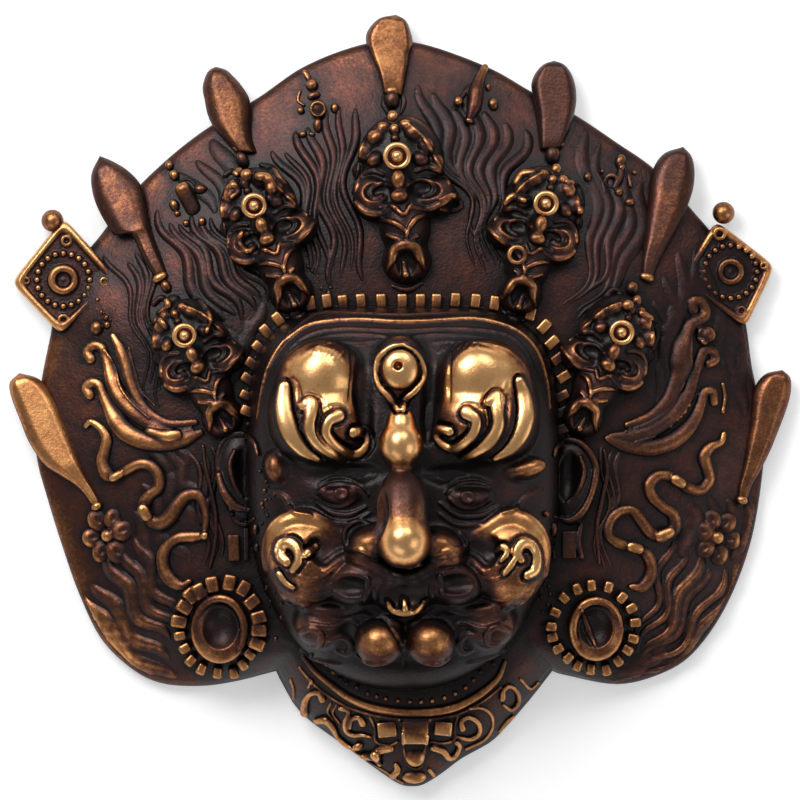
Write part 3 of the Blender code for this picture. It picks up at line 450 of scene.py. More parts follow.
    def lay(self, points, lift=0.0, spacing=1.0):
        """An even route on the clay's surface, with its middle lifted over it."""
        flat = even_route(points, spacing)
        heights = self.top(flat[:, 0], flat[:, 1]) + lift
        return np.column_stack([flat, heights])

    def raise_cord(self, points, radius, lift=0.0, soft=0.5, taper=1.0, flat=1.0):
        """A ridge laid on the surface; taper is the tips' share of the radius."""
        route = self.lay(points, lift)
        self.cord(route, swell(len(route), radius, taper), soft, flat)

    def groove(self, points, radius, lift=0.0, soft=0.4, taper=1.0):
        """A tool's groove along the surface."""
        route = self.lay(points, lift)
        self.cord(route, swell(len(route), radius, taper), soft, cut=True)

    def skin(self):
        """The clay's surface as places in millimetres and four-sided faces."""
        return surface_net(self.field, self.low, self.step)


def swell(count, radius, taper):
    """Radii that run from a thinner start through a full middle to a thinner end."""
    bow = np.sin(np.pi * np.linspace(0, 1, count)) ** 0.6
    return radius * (taper + (1 - taper) * bow)


def surface_net(field, low, step):
    """Skins a field of distances: one vertex in each cell that the surface crosses."""
    inside = field < 0
    count = np.zeros(tuple(n - 1 for n in field.shape), np.int8)
    corners = [(i, j, k) for i in (0, 1) for j in (0, 1) for k in (0, 1)]
    for i, j, k in corners:
        count += inside[
            i:count.shape[0] + i, j:count.shape[1] + j, k:count.shape[2] + k
        ]
    cells = np.argwhere((count > 0) & (count < 8))
    index = np.full(count.shape, -1, np.int32)
    index[tuple(cells.T)] = np.arange(len(cells))
    total = np.zeros((len(cells), 3))
    crossings = np.zeros(len(cells))
    for a in corners:
        for axis in range(3):
            if a[axis]:
                continue
            b = list(a)
            b[axis] = 1
            start = field[tuple((cells + a).T)]
            end = field[tuple((cells + b).T)]
            crossed = (start < 0) != (end < 0)
            part = np.where(crossed, start / np.where(crossed, start - end, 1), 0)
            point = np.array(a, float) + part[:, None] * (np.array(b) - a)
            total += point * crossed[:, None]
            crossings += crossed
    places = low + step * (cells + total / crossings[:, None])
    faces = []
    for axis in range(3):
        u, v = [k for k in range(3) if k != axis]
        first = [slice(1, -1)] * 3
        second = [slice(1, -1)] * 3
        first[axis] = slice(0, -1)
        second[axis] = slice(1, None)
        outward = inside[tuple(first)] & ~inside[tuple(second)]
        inward = ~inside[tuple(first)] & inside[tuple(second)]
        for mask, forward in ((outward, axis != 1), (inward, axis == 1)):
            spots = np.argwhere(mask)
            offset = np.ones(3, int)
            offset[axis] = 0
            spots = spots + offset
            ring = []
            for du, dv in ((0, 0), (1, 0), (1, 1), (0, 1)):
                cell = spots.copy()
                cell[:, u] -= 1 - du
                cell[:, v] -= 1 - dv
                ring.append(index[tuple(cell.T)])
            quad = np.stack(ring if forward else ring[::-1], 1)
            faces.append(quad)
    return places, np.concatenate(faces)


def new_piece(name, places, faces):
    """A mesh from places in millimetres, as an object at the origin."""
    mesh = bpy.data.meshes.new(name)
    mesh.from_pydata(np.asarray(places) * MM, [], np.asarray(faces))
    mesh.validate()
    mesh.shade_smooth()
    return link_object(name, mesh)


def ride_mask(piece):
    """Every piece moves with the mask."""
    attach(piece, BODY)
    return piece


def triangle_count(piece):
    """Triangles of a piece's mesh, its larger faces counted as fans."""
    return sum(len(face.vertices) - 2 for face in piece.data.polygons)


def thin(piece, triangles, group=""):
    """Takes triangles off a piece, or off a group of its vertices, down to the given number."""
    now = triangle_count(piece)
    if now <= triangles:
        return
    modifier = piece.modifiers.new("thin", "DECIMATE")
    modifier.ratio = triangles / now
    modifier.vertex_group = group
    modifier.vertex_group_factor = 1000
    pick(piece)
    bpy.ops.object.modifier_apply(modifier=modifier.name)


class Relief:
    """Clay laid on a ground: forms are given by places, and heights follow the surface."""

    def __init__(self, low, high, ground, tallest, step=0.38, root=2.2):
        self.ground = ground
        grid_x, grid_y = np.meshgrid(np.linspace(low[0], high[0], 30), np.linspace(low[1], high[1], 30))
        levels = ground(grid_x, grid_y)
        self.root = root
        self.clay = Clay(
            (*low, levels.min() - root - 2 * step), (*high, levels.max() + tallest), step
        )

    def surface(self, x, y):
        """Height of the clay or the ground, whichever is over the other."""
        return np.maximum(self.clay.top(x, y), self.ground(x, y))

    def lay(self, route, lift=0.0, spacing=0.8):
        """The route as even points on the surface."""
        flat = even_route(route, spacing)
        return np.column_stack([flat, self.surface(flat[:, 0], flat[:, 1]) + lift])

    def boss(self, place, half_sizes, rise, turn=0.0, soft=1.2):
        """A half ball that stands on the ground."""
        level = float(self.ground(*place))
        self.clay.ball((*place, level), (*half_sizes, rise), soft, turn)

    def bead(self, place, half_sizes, lift=0.0, turn=0.0, soft=0.25, depth=None):
        """A ball set into the surface; depth is its upright half size."""
        upright = depth or min(half_sizes)
        level = float(self.surface(*place))
        self.clay.ball((*place, level + lift), (*half_sizes, upright), soft, turn)

    def cord(self, route, radii, lift=0.0, soft=0.35, flat=1.0):
        """A cord laid on the surface, its radii spread along it."""
        laid = self.lay(route, lift)
        self.clay.cord(laid, spread(radii, len(laid)), soft, flat)

    def ring(self, place, radius, thick, lift=0.0, soft=0.25):
        """A round wire laid level round a place."""
        angles = np.linspace(0, 2 * math.pi, 25)
        level = float(self.surface(*place)) + lift
        route = [
            (place[0] + radius * math.cos(a), place[1] + radius * math.sin(a), level) for a in angles
        ]
        self.clay.cord(route, thick, soft)

    def pit(self, place, half_sizes, depth, turn=0.0, soft=0.5):
        """A round-bottomed hollow of the given depth."""
        level = float(self.surface(*place))
        radii = (*half_sizes, max(half_sizes))
        self.clay.ball((*place, level + radii[2] - depth), radii, soft, turn, cut=True)

    def groove(self, route, radius, lift=0.2, soft=0.25):
        """A tool's groove that runs out at both ends."""
        laid = self.lay(route, lift)
        self.clay.cord(laid, swell(len(laid), radius, 0.5), soft, cut=True)

    def slab(self, place, half_sizes, rise, turn=0.0, soft=0.3, rounding=0.4):
        """A flat-topped block over the ground."""
        level = float(self.ground(*place))
        self.clay.box((*place, level + rise / 2 - 1), (*half_sizes, rise / 2 + 1), soft, turn, rounding)

    def model(self, forms):
        """Lays forms written as the name of a method and its values."""
        for kind, *values in forms:
            getattr(self, kind)(*values)
        return self

    def piece(self, name, matrix=None):
        """Skins the clay, cut off a little under the ground."""
        clay = self.clay
        count_x, count_y, count_z = clay.field.shape
        x = clay.low[0] + clay.step * np.arange(count_x)[:, None]
        y = clay.low[1] + clay.step * np.arange(count_y)[None, :]
        under = self.ground(*np.broadcast_arrays(x, y)) - self.root
        z = clay.low[2] + clay.step * np.arange(count_z)
        clay.field = np.maximum(clay.field, (under[:, :, None] - z).astype(np.float32))
        for axis in range(3):
            edge = [slice(None)] * 3
            for end in (0, -1):
                edge[axis] = end
                clay.field[tuple(edge)] = np.maximum(clay.field[tuple(edge)], 0.3 * clay.step)
        places, faces = clay.skin()
        if matrix is not None:
            places = places @ np.array(matrix.to_3x3()).T + np.array(matrix.translation)
        return ride_mask(new_piece(name, places, faces))


def local_frame(origin, turn, scale=1.0, mirror=False):
    """Maps places given across and down a turned ornament to the mask's plane."""
    spin = math.radians(turn)
    flip = -1 if mirror else 1

    def place(point):
        across, down = flip * scale * point[0], scale * point[1]
        return (
            origin[0] + across * math.cos(spin) + down * math.sin(spin),
            origin[1] + across * math.sin(spin) - down * math.cos(spin),
        )

    return place


def map_forms(forms, place, turn, scale=1.0, mirror=False):
    """The same forms, placed in a local frame."""
    mapped = []
    for kind, where, size, *rest in forms:
        if kind in ("cord", "groove"):
            mapped.append((kind, [place(point) for point in where], np.multiply(size, scale), *rest))
            continue
        rest = list(rest)
        if kind in ("boss", "bead", "pit", "slab"):
            own = rest[1] if len(rest) > 1 else 0.0
            rest = rest[:1] + [(-own if mirror else own) + turn] + rest[2:]
        sizes = size * scale if kind == "ring" else tuple(np.atleast_1d(np.multiply(size, scale)))
        mapped.append((kind, place(where), sizes, *rest))
    return mapped


def on_face(place, lift=0.0):
    """A point over the plain face or plate, in millimetres."""
    return (place[0], place[1], float(front_height(*place)) + lift)


def block_face():
    """The plain head in clay: the dome and the plate's root round it."""
    clay = Clay((-56, -101, 17), (58, 34, 75), FACE_STEP)
    place, (x, y, z) = clay.window((-60, -110, 10), (60, 40, 80))
    plane_x, plane_y = np.broadcast_arrays(x[:, :, 0], y[:, :, 0])
    reach, angle = polar(plane_x, plane_y)
    oval = oval_radius(angle)
    share = reach / oval
    top = np.where(share < 1, face_height(np.minimum(share, 1)), ground_height(plane_x, plane_y))
    top = top - FACE_SKIRT * np.clip((share - 1.02) / 0.03, 0, 1)
    slope_x, slope_y = np.gradient(top, clay.step)
    tilt = 1 / np.sqrt(1 + np.minimum(slope_x ** 2 + slope_y ** 2, 9.0))
    clay.field[place] = ((z - top[:, :, None]) * tilt[:, :, None]).astype(np.float32)
    return clay


def underside(x, y):
    """Height of the face piece's hidden underside, and the share of the oval at each place."""
    reach, angle = polar(x, y)
    share = reach / oval_radius(angle)
    under = np.where(share < 1, face_height(np.minimum(share, 1)), RIM + RISE) - FACE_DEPTH
    return np.maximum(under, SKIN_FLOOR), share


def hollow_face(clay):
    """Cuts the clay off under the skin that shows, so that it sits over the plate's dome."""
    place, (x, y, z) = clay.window((-60, -110, 10), (60, 40, 80))
    under, share = underside(*np.broadcast_arrays(x[:, :, 0], y[:, :, 0]))
    floor = (under[:, :, None] - z).astype(np.float32)
    side = ((share - SKIN_REACH) * 40)[:, :, None].astype(np.float32)
    clay.field[place] = np.maximum(np.maximum(clay.field[place], floor), side)
    return clay

# Masses of the face: place, radii, rise of the top over the plain face, turn, softness
FACE_MASSES = (
    # Brow bosses, square above and full below
    ((-26.0, 6.3), (14.5, 13.5, 11.0), 9.5, 0, 3.0), ((-25.3, -7.3), (16.5, 14.5, 14.0), 10.5, 0, 3.0),
    ((27.7, 6.3), (16.0, 13.5, 11.0), 9.5, 0, 3.0), ((27.0, -7.3), (18.0, 14.5, 14.0), 10.5, 0, 3.0),
    ((-34.7, -5.3), (8.5, 13.0, 9.0), 8.5, 6, 3.0), ((37.3, -5.3), (8.5, 13.5, 9.0), 8.5, -6, 3.0),
    # Third eye's mound and the jewel under it
    ((0.0, 8.7), (9.5, 12.5, 8.0), 5.5, 0, 3.0), ((0.3, -7.7), (4.9, 6.0, 6.0), 11.0, 0, 2.0),
    ((0.3, -14.7), (7.4, 8.4, 9.0), 14.3, 0, 1.6),
    # Ends of the brows at the temples
    ((-41.0, -22.3), (4.0, 5.4, 5.0), 5.0, 12, 2.5), ((41.3, -22.7), (7.4, 3.4, 5.0), 5.4, 14, 2.5),
    # Eyeballs and the folds under them
    ((-19.3, -30.7), (7.6, 4.6, 5.0), 3.4, -6, 1.4), ((22.0, -31.7), (7.6, 4.6, 5.0), 3.4, 6, 1.4),
    # Nose
    ((0.7, -31.3), (7.6, 8.6, 8.0), 14.5, 0, 3.5), ((0.7, -37.3), (8.2, 8.6, 9.0), 18.0, 0, 4.5),
    ((1.3, -46.0), (9.0, 9.4, 12.0), 22.9, 0, 4.0),
    ((-10.0, -47.0), (6.6, 5.4, 8.0), 11.4, 24, 4.0), ((13.7, -47.7), (6.8, 5.0, 8.0), 11.4, -20, 4.0),
    # Cheeks
    ((-31.3, -52.7), (13.0, 15.5, 12.0), 11.0, 8, 3.0), ((36.0, -52.7), (13.0, 15.5, 12.0), 11.0, -8,
                                                         3.0),
    # Muzzle, upper lip and chin
    ((-12.7, -59.3), (12.0, 8.0, 9.0), 9.0, 14, 2.5), ((15.3, -59.3), (12.0, 8.0, 9.0), 9.0, -14, 2.5),
    ((1.0, -62.7), (10.0, 8.0, 9.0), 8.5, 0, 2.5),
    ((-6.7, -80.0), (8.0, 8.0, 9.0), 12.4, 0, 2.0), ((10.0, -80.0), (8.0, 8.0, 9.0), 12.4, 0, 2.0),
    ((-26.0, -73.3), (9.0, 8.0, 8.0), 6.0, 30, 3.0), ((29.3, -73.3), (9.0, 8.0, 8.0), 6.0, -30, 3.0),
)
# Hollows: place, radii, depth of the middle under the surface, turn, softness
FACE_HOLLOWS = (
    # Between the brows and the nose, beside the third eye
    ((-12.0, 0.7), (3.4, 15.0, 4.0), 2.6, 3, 2.0), ((10.0, 0.7), (2.8, 15.0, 4.0), 2.4, -4, 2.0),
    ((-22.0, -24.7), (16.0, 4.2, 5.0), 2.5, 4, 2.0), ((23.3, -25.3), (16.0, 4.2, 5.0), 2.5, -4, 2.0),
    ((-7.3, -36.7), (3.8, 9.0, 4.0), 2.0, 6, 2.0), ((9.3, -36.7), (3.8, 9.0, 4.0), 2.0, -6, 2.0),
    ((-23.7, -48.7), (6.5, 6.0, 4.0), 2.6, -20, 1.8), ((26.7, -50.0), (6.5, 5.4, 4.0), 2.6, 20, 1.8),
    # Mouth
    ((-17.3, -61.7), (7.6, 4.0, 5.0), 4.2, -4, 1.4), ((19.7, -60.7), (8.0, 4.0, 5.0), 4.2, 4, 1.4),
    ((1.3, -65.3), (10.5, 4.6, 4.0), 3.2, 0, 1.0), ((1.3, -87.3), (24.0, 4.0, 5.0), 1.6, 0, 2.0),
)
# Gold forms on the brow bosses and the cheeks: route, radii along it and lift
FACE_TONGUES = (
    (way("-38 4, -38.3 -0.7, -37.7 -6, -35.7 -11.3, -32 -16.3, -26.7 -19.7"),
     (2.6, 3.4, 3.8, 3.6, 2.6, 1.2), 0.2),
    (way("-32 -2, -29.3 -0.7, -29.3 -4.7, -29.7 -9.3, -27.3 -13.7, -23.3 -17, "
         "-18.7 -19.7"),
     (1.6, 2.6, 2.2, 2.4, 2.5, 2.2, 1.3), 0.3),
    (way("-20.3 -5.3, -23.3 -7, -24.3 -10.7, -22.3 -14, -19.3 -16.3, -16 -18, -12.7 -17, "
         "-11 -14, -12 -10.7, -15.3 -10.7"),
     (2.6, 1.9, 1.8, 1.9, 1.9, 2.1, 1.9, 1.6, 1.7, 2.1), 0.3),
    (way("39.3 6, 40.7 1.3, 41.3 -4.7, 39.7 -10.7, 36.3 -15.7, 31.3 -19.3"),
     (2.0, 3.2, 3.8, 3.6, 2.6, 1.2), 0.2),
    (way("29 -0.7, 32 1, 32 -3.3, 32.3 -8.3, 30 -13, 26 -16.7, 20.7 -19.3"),
     (1.6, 2.8, 2.3, 2.3, 2.4, 2.0, 1.2), 0.3),
    (way("22 -4.3, 25 -6.7, 24.3 -10.7, 21.7 -13.7, 18 -16, 14.7 -15, 12 -12.3, "
         "12.7 -9.7, 16.3 -10.3"),
     (2.7, 2.0, 1.9, 1.8, 1.9, 1.8, 1.6, 1.7, 1.9), 0.3),
    # Cheek scrolls
    (way("-37.3 -53.3, -39.3 -51, -39 -48, -36.3 -47, -33.7 -49, -33.3 -52.7, -35.3 -56"),
     (1.9, 2.2, 2.3, 2.3, 2.0, 1.6, 1.3), 0.3),
    (way("-31.7 -51.3, -29.7 -49.7, -28 -48.3"), (1.2, 1.7, 1.5), 0.3),
    (way("-39.7 -57.3, -37.7 -60, -35.3 -61.7"), (1.4, 1.2, 0.9), 0.0),
    (way("40 -52.7, 38.3 -50, 40.3 -47, 43.3 -48, 45 -51.3, 44.3 -56, 42 -57.7"),
     (1.3, 2.3, 2.3, 2.0, 1.8, 2.2, 1.7), 0.3),
    (way("32 -49.7, 34 -48.3, 35.3 -50.3, 33.3 -52.7"), (1.2, 1.4, 1.2, 0.9), 0.3),
    (way("34.3 -57, 36.3 -54.7, 38 -52"), (1.0, 1.4, 1.0), 0.2),
    # Third eye's leaf-shaped rims
    (way("1.3 18.3, -3 17.3, -7 13.7, -8 8.7, -6.7 4.3, -3.7 1, -0.7 -3.3"),
     (0.8, 1.1, 1.4, 1.1, 1.3, 1.3, 0.9), 0.4),
    (way("1.3 18, 5.3 15.7, 7.7 11.3, 7.7 7, 5 3, 2 0.3, 1 -3.3"),
     (0.6, 0.8, 1.1, 1.2, 1.3, 1.3, 0.9), 0.4),
    # Tongue
    (way("-4 -66.7, -2.7 -69, 0.7 -70, 4.7 -69.7, 6.7 -68.3, 8 -66.3"),
     (0.8, 1.3, 1.5, 1.5, 1.2, 0.7), 0.5),
    (((1.3, -65.7), (1.7, -68.7)), (0.7, 1.2), 0.7),
)
# Full soft rims over the cheeks and the mouth: route, radii along it, lift
FACE_RIMS = (
    (way("-44 -56.7, -43.7 -49.3, -41 -43, -36 -39.7, -30.7 -39.3, -25.3 -41, -20 -43.7"),
     (1.2, 2.0, 3.0, 3.6, 3.6, 2.8, 1.4), -1.2),
    (way("23.3 -45.3, 28.7 -42.3, 34 -39.3, 39.3 -39.3, 44.7 -43, 47.7 -49.3, 47.7 -57.3"),
     (1.4, 2.8, 3.6, 3.6, 3.0, 2.0, 1.2), -1.2),
    (way("-24.7 -56.7, -20 -53.3, -14.7 -52, -8.7 -54.3, -2.7 -57.3, 1.3 -58.3, 6 -57, "
         "12 -53.7, 18 -52, 23.3 -53.3, 28 -56.7"), (1.2, 2.2, 2.4, 2.2, 1.9, 1.8, 1.9, 2.2, 2.4, 2.2,
                                                     1.2), 0.3),
    (way("-33.3 -66, -26.7 -69.3, -18.7 -69.3, -11.3 -68, -5.3 -71.7, 1.7 -75.3, 8 -71.7, "
         "14.7 -68.3, 22.7 -69.7, 30.7 -68.7, 38 -65"), (1.0, 1.6, 1.9, 1.9, 1.8, 1.6, 1.8, 1.9, 1.9,
                                                         1.6, 1.0), -0.3),
)
# Fine ridges: route, radius, lift
FACE_RIDGES = (
    (way("-47.3 -6, -45.7 4, -42.7 13.3, -37.3 20, -30.7 24.7, -22.7 26.3, -12.7 26.7, "
         "0 26, 10.7 26.3, 23.3 27, 32 25.7, 38.7 23, 43.7 18.7, 47 12.7, 49 4.7, "
         "49.7 -2.7"), 0.75, 0.2),
    (way("-44 10, -38.7 19.3, -30 27.3, -21.7 29, 0 28.3, 20 29, 33.3 28"), 0.6, 0.0),
    (way("-41.3 9, -36.7 16.7, -29.3 22, -18.3 23.7, 0 23, 16.7 23.7, 33.3 22.3, "
         "40.7 17.3, 45.3 8"), 0.55, 0.0),
    (way("-33.3 18.7, -23.3 21.3, -11.7 21.7, 0 20.7, 13.3 21.7, 30 20.7"), 0.5, 0.0),
    (way("-28 17.3, -20.7 19.3, -13.3 18.7, -6.7 20"), 0.5, 0.0),
    (way("11.3 19, 18.3 19.3, 26.7 18.7, 35 16.7, 41.3 11.3"), 0.5, 0.0),
    # Lids and the folds under the eyes
    (way("-27.3 -31, -24 -28.3, -19 -27.7, -14 -29, -10.7 -31.7"), 0.9, 0.3),
    (way("-26.7 -28, -22.3 -25.7, -16.7 -26, -11.3 -28.7"), 0.7, 0.0),
    (way("-28 -32, -23.3 -34.7, -18.7 -35, -14.7 -33"), 0.7, 0.0),
    (way("-27.3 -34, -22.7 -37, -16.7 -37.7, -11.3 -35.3"), 0.9, 0.1),
    (way("-28.7 -36.7, -22.7 -40, -16 -40.3, -10 -37.3"), 0.9, 0.0),
    (way("15.3 -30.7, 19.3 -28, 24.7 -27.3, 29.3 -28.3"), 0.9, 0.3),
    (way("14.7 -28, 20 -25.7, 25.3 -25.3, 30 -27"), 0.7, 0.0),
    (way("16 -32.3, 20 -35.3, 25.3 -35.3, 30 -32.7"), 0.7, 0.0),
    (way("13.3 -34, 19.3 -38, 26.7 -38, 32.7 -35"), 1.0, 0.1),
    (way("12.7 -37.3, 18.7 -41, 26.7 -41"), 0.9, 0.0),
    (way("-43.3 -30, -38 -32, -35.3 -36.7, -29.3 -38"), 0.9, 0.0),
    (way("46.7 -29.3, 41.3 -32, 38 -36, 33.3 -37.3"), 0.9, 0.0),
    # Nostrils' outer folds
    (way("-16 -50, -18.3 -46.3, -17.7 -42.3, -14.3 -40, -10 -40.7"), 0.9, 0.2),
    (way("10 -52.7, 15.3 -51.3, 20 -50, 22 -47, 20 -43.7"), 0.9, 0.2),
    # Cheeks' inner wrinkles
    (way("-34.7 -57.3, -29.3 -59, -23.3 -57.3"), 0.6, 0.0), (way("-34 -61.3, -28 -62.7, -22.7 -60.7"),
        0.6, 0.0),
    (way("-34 -64.7, -27.3 -66, -21.3 -63.3"), 0.6, 0.0), (way("-40 -62.7, -36 -67.3, -28.7 -70"), 0.9,
                                                           0.1),
    (way("26 -58.3, 31.3 -59, 35.3 -57"), 0.6, 0.0), (way("27.3 -65, 34 -66, 40.7 -63.3"), 0.6, 0.0),
    (way("44.7 -61.3, 40 -66.7, 32.7 -70"), 0.9, 0.1),
    # Upper lip and moustache
    (way("-24.7 -53.3, -20 -50, -14 -49, -8.7 -51.3, -3.3 -54.7, 0.3 -56"), 0.9, 0.1),
    (way("0.3 -56, 6 -54, 12 -50.7, 18.7 -49, 24.7 -50.7, 28.7 -54"), 0.9, 0.1),
    (((-8.0, -62.0), (-7.7, -66.0)), 0.8, 0.2), (((10.0, -61.3), (10.3, -65.3)), 0.8, 0.2),
    (way("-10.7 -58, -10.7 -62, -11.7 -66"), 1.3, 0.9),
    (way("13 -57.3, 13.3 -60, 14 -64"), 1.3, 0.9),
    # Lower lip
    (way("-31.3 -73.3, -23.3 -74.7, -16 -72.7, -12.7 -76"), 0.9, 0.1),
    (way("35.3 -72.7, 27.3 -75.3, 20.7 -73.3, 17.3 -76"), 0.9, 0.1),
)
# Tool grooves: route and radius
FACE_GROOVES = (
    (way("-35.3 7.3, -33.3 5, -33 0, -34 -4.7, -33 -10, -29.3 -15.7"), 0.8),
    (way("-32.3 1.3, -29.3 2.3, -26 0.7, -24.7 -2.3, -26.7 -6, -27 -10.7, -24 -15, "
         "-18.7 -19"),
     0.8),
    (way("-25.3 -3.3, -22 -1.7, -18 -2.7, -17.3 -6, -20 -8.3"), 0.8),
    (way("-9.3 -9.3, -8.7 -14.7, -11.3 -19"), 0.8),
    (way("35 6, 34 1.3, 35.3 -4.7, 34.7 -10.7, 30.7 -16, 25.3 -19.3"), 0.8),
    (way("28.7 2, 27 -2, 27.7 -7.3, 26 -12, 21.3 -16.3, 16.7 -18.7"), 0.8),
    (way("19.3 -2.7, 21.3 -1, 26 -2, 27.3 -6"), 0.8),
    (way("-16 17.3, -15.7 9, -16.7 -0.7"), 0.9),
    (way("16.7 15.3, 16 7.3, 16.3 -0.7"), 0.9),
    (way("-41 -52.7, -40.3 -47.3, -37.3 -44.7, -34 -45.3, -32 -48.7, -31.7 -53.3"), 0.8),
    (way("45.3 -53.3, 44 -46.7, 40 -44.7, 37.3 -47.3, 36.3 -51.3"), 0.8),
    (way("-5.3 10, -4.7 6, -2 3"), 0.8), (way("5 10, 4.3 6.7, 3.3 4"), 0.8),
    (way("-5.3 -72, -1.3 -77.3, 1.3 -82.7, 1.7 -88.7"), 1.0),
)
# Beard curls under the lip: route and radius
BEARD_CURLS = (
    (way("-33.3 -76.7, -29.3 -75.3, -26 -77.3, -26.7 -81, -30 -81"), 1.2),
    (way("-23.3 -79.3, -19.3 -78, -16 -80.3, -17.3 -83.7, -20.7 -83"), 1.2),
    (way("36 -76, 32 -74.7, 28.7 -76.7, 29.3 -80.3, 32.7 -80.3"), 1.2),
    (way("26 -78.7, 22.3 -77.3, 19.3 -80, 20.7 -83.3, 23.7 -82.7"), 1.2),
    (way("-14 -84.3, -10 -86.7, -4.7 -86.7"), 1.0), (way("16.7 -84.3, 13.3 -86.7, 8 -86.7"), 1.0),
    (way("-33.3 -83.3, -27.3 -86, -20 -87.3"), 0.9), (way("35.3 -82.7, 29.3 -85.3, 22.7 -87"), 0.9),
)
# Hatching over the brows: places of the strokes
BROW_HATCHING = way("-27.7 16.7, -26.3 16.7, -25 16.3, -23.7 16, -22.3 15.7, -21 15, -19.3 15, "
                    "13.7 16.7, 15.3 17.3, 17.7 17.7, 19.7 17.7, 21.7 18, 23.7 18.3, 25.7 18.3")

# Panels over the brow scrolls, the third eye's disc and its hole, the irises
BROW_PANELS = (((-25.7, 8.0), (9.0, 10.0, 6.0)), ((25.7, 8.0), (10.0, 10.0, 6.0)))
THIRD_EYE = (0.0, 10.0)
THIRD_PUPIL = (-0.7, 11.3)
IRISES = ((-19.3, -30.7), (22.3, -32.0))
# Scrolls: how far a trench is sunk and wider than its leaf, the leaf's lift and flatness
TRENCH_DROP = 0.1
TRENCH_WIDER = 1.0
LEAF_LIFT = 0.3
LEAF_FLAT = 0.62
PANEL_RISE = 0.9
ROUTE_STEP = 0.8


def carve_face(clay):
    """The head's masses first, then its scrolls, folds and tool marks."""
    for place, radii, rise, turn, soft in FACE_MASSES:
        clay.ball(on_face(place, rise - radii[2]), radii, soft, turn)
    for place, radii, depth, turn, soft in FACE_HOLLOWS:
        level = float(clay.top(*place)) + radii[2] - depth
        clay.ball((*place, level), radii, soft, turn, cut=True)
    for place, radii in BROW_PANELS:
        clay.ball((*place, float(clay.top(*place)) + PANEL_RISE - radii[2]), radii, 1.0)
    for route, radii, lift in FACE_RIMS:
        laid = clay.lay(route, lift, ROUTE_STEP)
        clay.cord(laid, spread(radii, len(laid)), 1.2)
    # Scrolls stand in a trench cut round them, so that they read as separate leaves
    scrolls = []
    for route, radii, lift in FACE_TONGUES:
        laid = clay.lay(route, 0.0, ROUTE_STEP)
        scrolls.append((laid, spread(radii, len(laid)), lift))
    for laid, thick, _ in scrolls:
        trench = laid - (0, 0, TRENCH_DROP)
        clay.cord(trench, thick + TRENCH_WIDER, 0.4, 0.5, cut=True)
    for laid, thick, lift in scrolls:
        leaf = laid.copy()
        leaf[:, 2] += lift + LEAF_LIFT - LEAF_FLAT * thick
        clay.cord(leaf, thick, 0.15, LEAF_FLAT)
    for route, radius, lift in FACE_RIDGES:
        clay.raise_cord(route, radius, lift, 0.5, 0.5)
    for route, radius in BEARD_CURLS:
        clay.raise_cord(route, radius, 0.3, 0.4, 0.6)
    for route, radius in FACE_GROOVES:
        clay.groove(route, radius, 0.2, 0.3, 0.5)
    level = float(clay.top(*THIRD_EYE))
    clay.ball((*THIRD_EYE, level - 0.6), (6.1, 6.7, 2.6), 0.4)
    clay.ball((*THIRD_PUPIL, level + 2.0), (1.5, 1.5, 2.4), 0.3, cut=True)
    for place in IRISES:
        level = float(clay.top(*place))
        turns = np.linspace(0, 6.3, 13)
        ring = [(place[0] + 1.9 * math.cos(a), place[1] + 1.7 * math.sin(a)) for a in turns]
        clay.cord(clay.lay(ring, 0.1, ROUTE_STEP), 0.5, 0.3)
        clay.ball((*place, level + 1.0), (0.9, 0.9, 1.6), 0.3, cut=True)
    for place in BROW_HATCHING:
        stroke = [(place[0] - 0.7, place[1] - 1.0), (place[0] + 0.7, place[1] + 1.0)]
        clay.cord(clay.lay(stroke, 0.1, 0.7), 0.42, 0.3)


def make_face():
    """The wrathful head, from clay, over the plate's dome."""
    clay = block_face()
    carve_face(clay)
    places, faces = hollow_face(clay).skin()
    face = new_piece("face", places, faces)
    under, share = underside(places[:, 0], places[:, 1])
    hidden = (places[:, 2] < under + 0.3) | (share > SKIN_REACH - 0.002)
    thin_hidden(face, hidden, FACE_TRIANGLES)
    return ride_mask(face)


def thin_hidden(piece, hidden, triangles):
    """Thins the mesh's hidden inner side, as far as it goes, to the given triangles."""
    group = piece.vertex_groups.new(name="hidden")
    group.add([int(i) for i in np.flatnonzero(hidden)], 1.0, "REPLACE")
    thin(piece, triangles, group.name)
    piece.vertex_groups.clear()

# Each skull of the crown: its brow ring, its mouth, its size and whether it is mirrored
SKULLS = {
    "outer_left": ((-71.3, 21.3), (-62.7, 0.7), 0.86, False),
    "inner_left": ((-48.3, 64.3), (-39.7, 42.0), 0.9, False),
    "centre": ((-1.0, 80.7), (0.7, 50.0), 1.0, False),
    "inner_right": ((48.3, 65.0), (43.0, 43.3), 0.9, True),
    "outer_right": ((73.3, 22.3), (64.0, 0.0), 0.88, True),
}
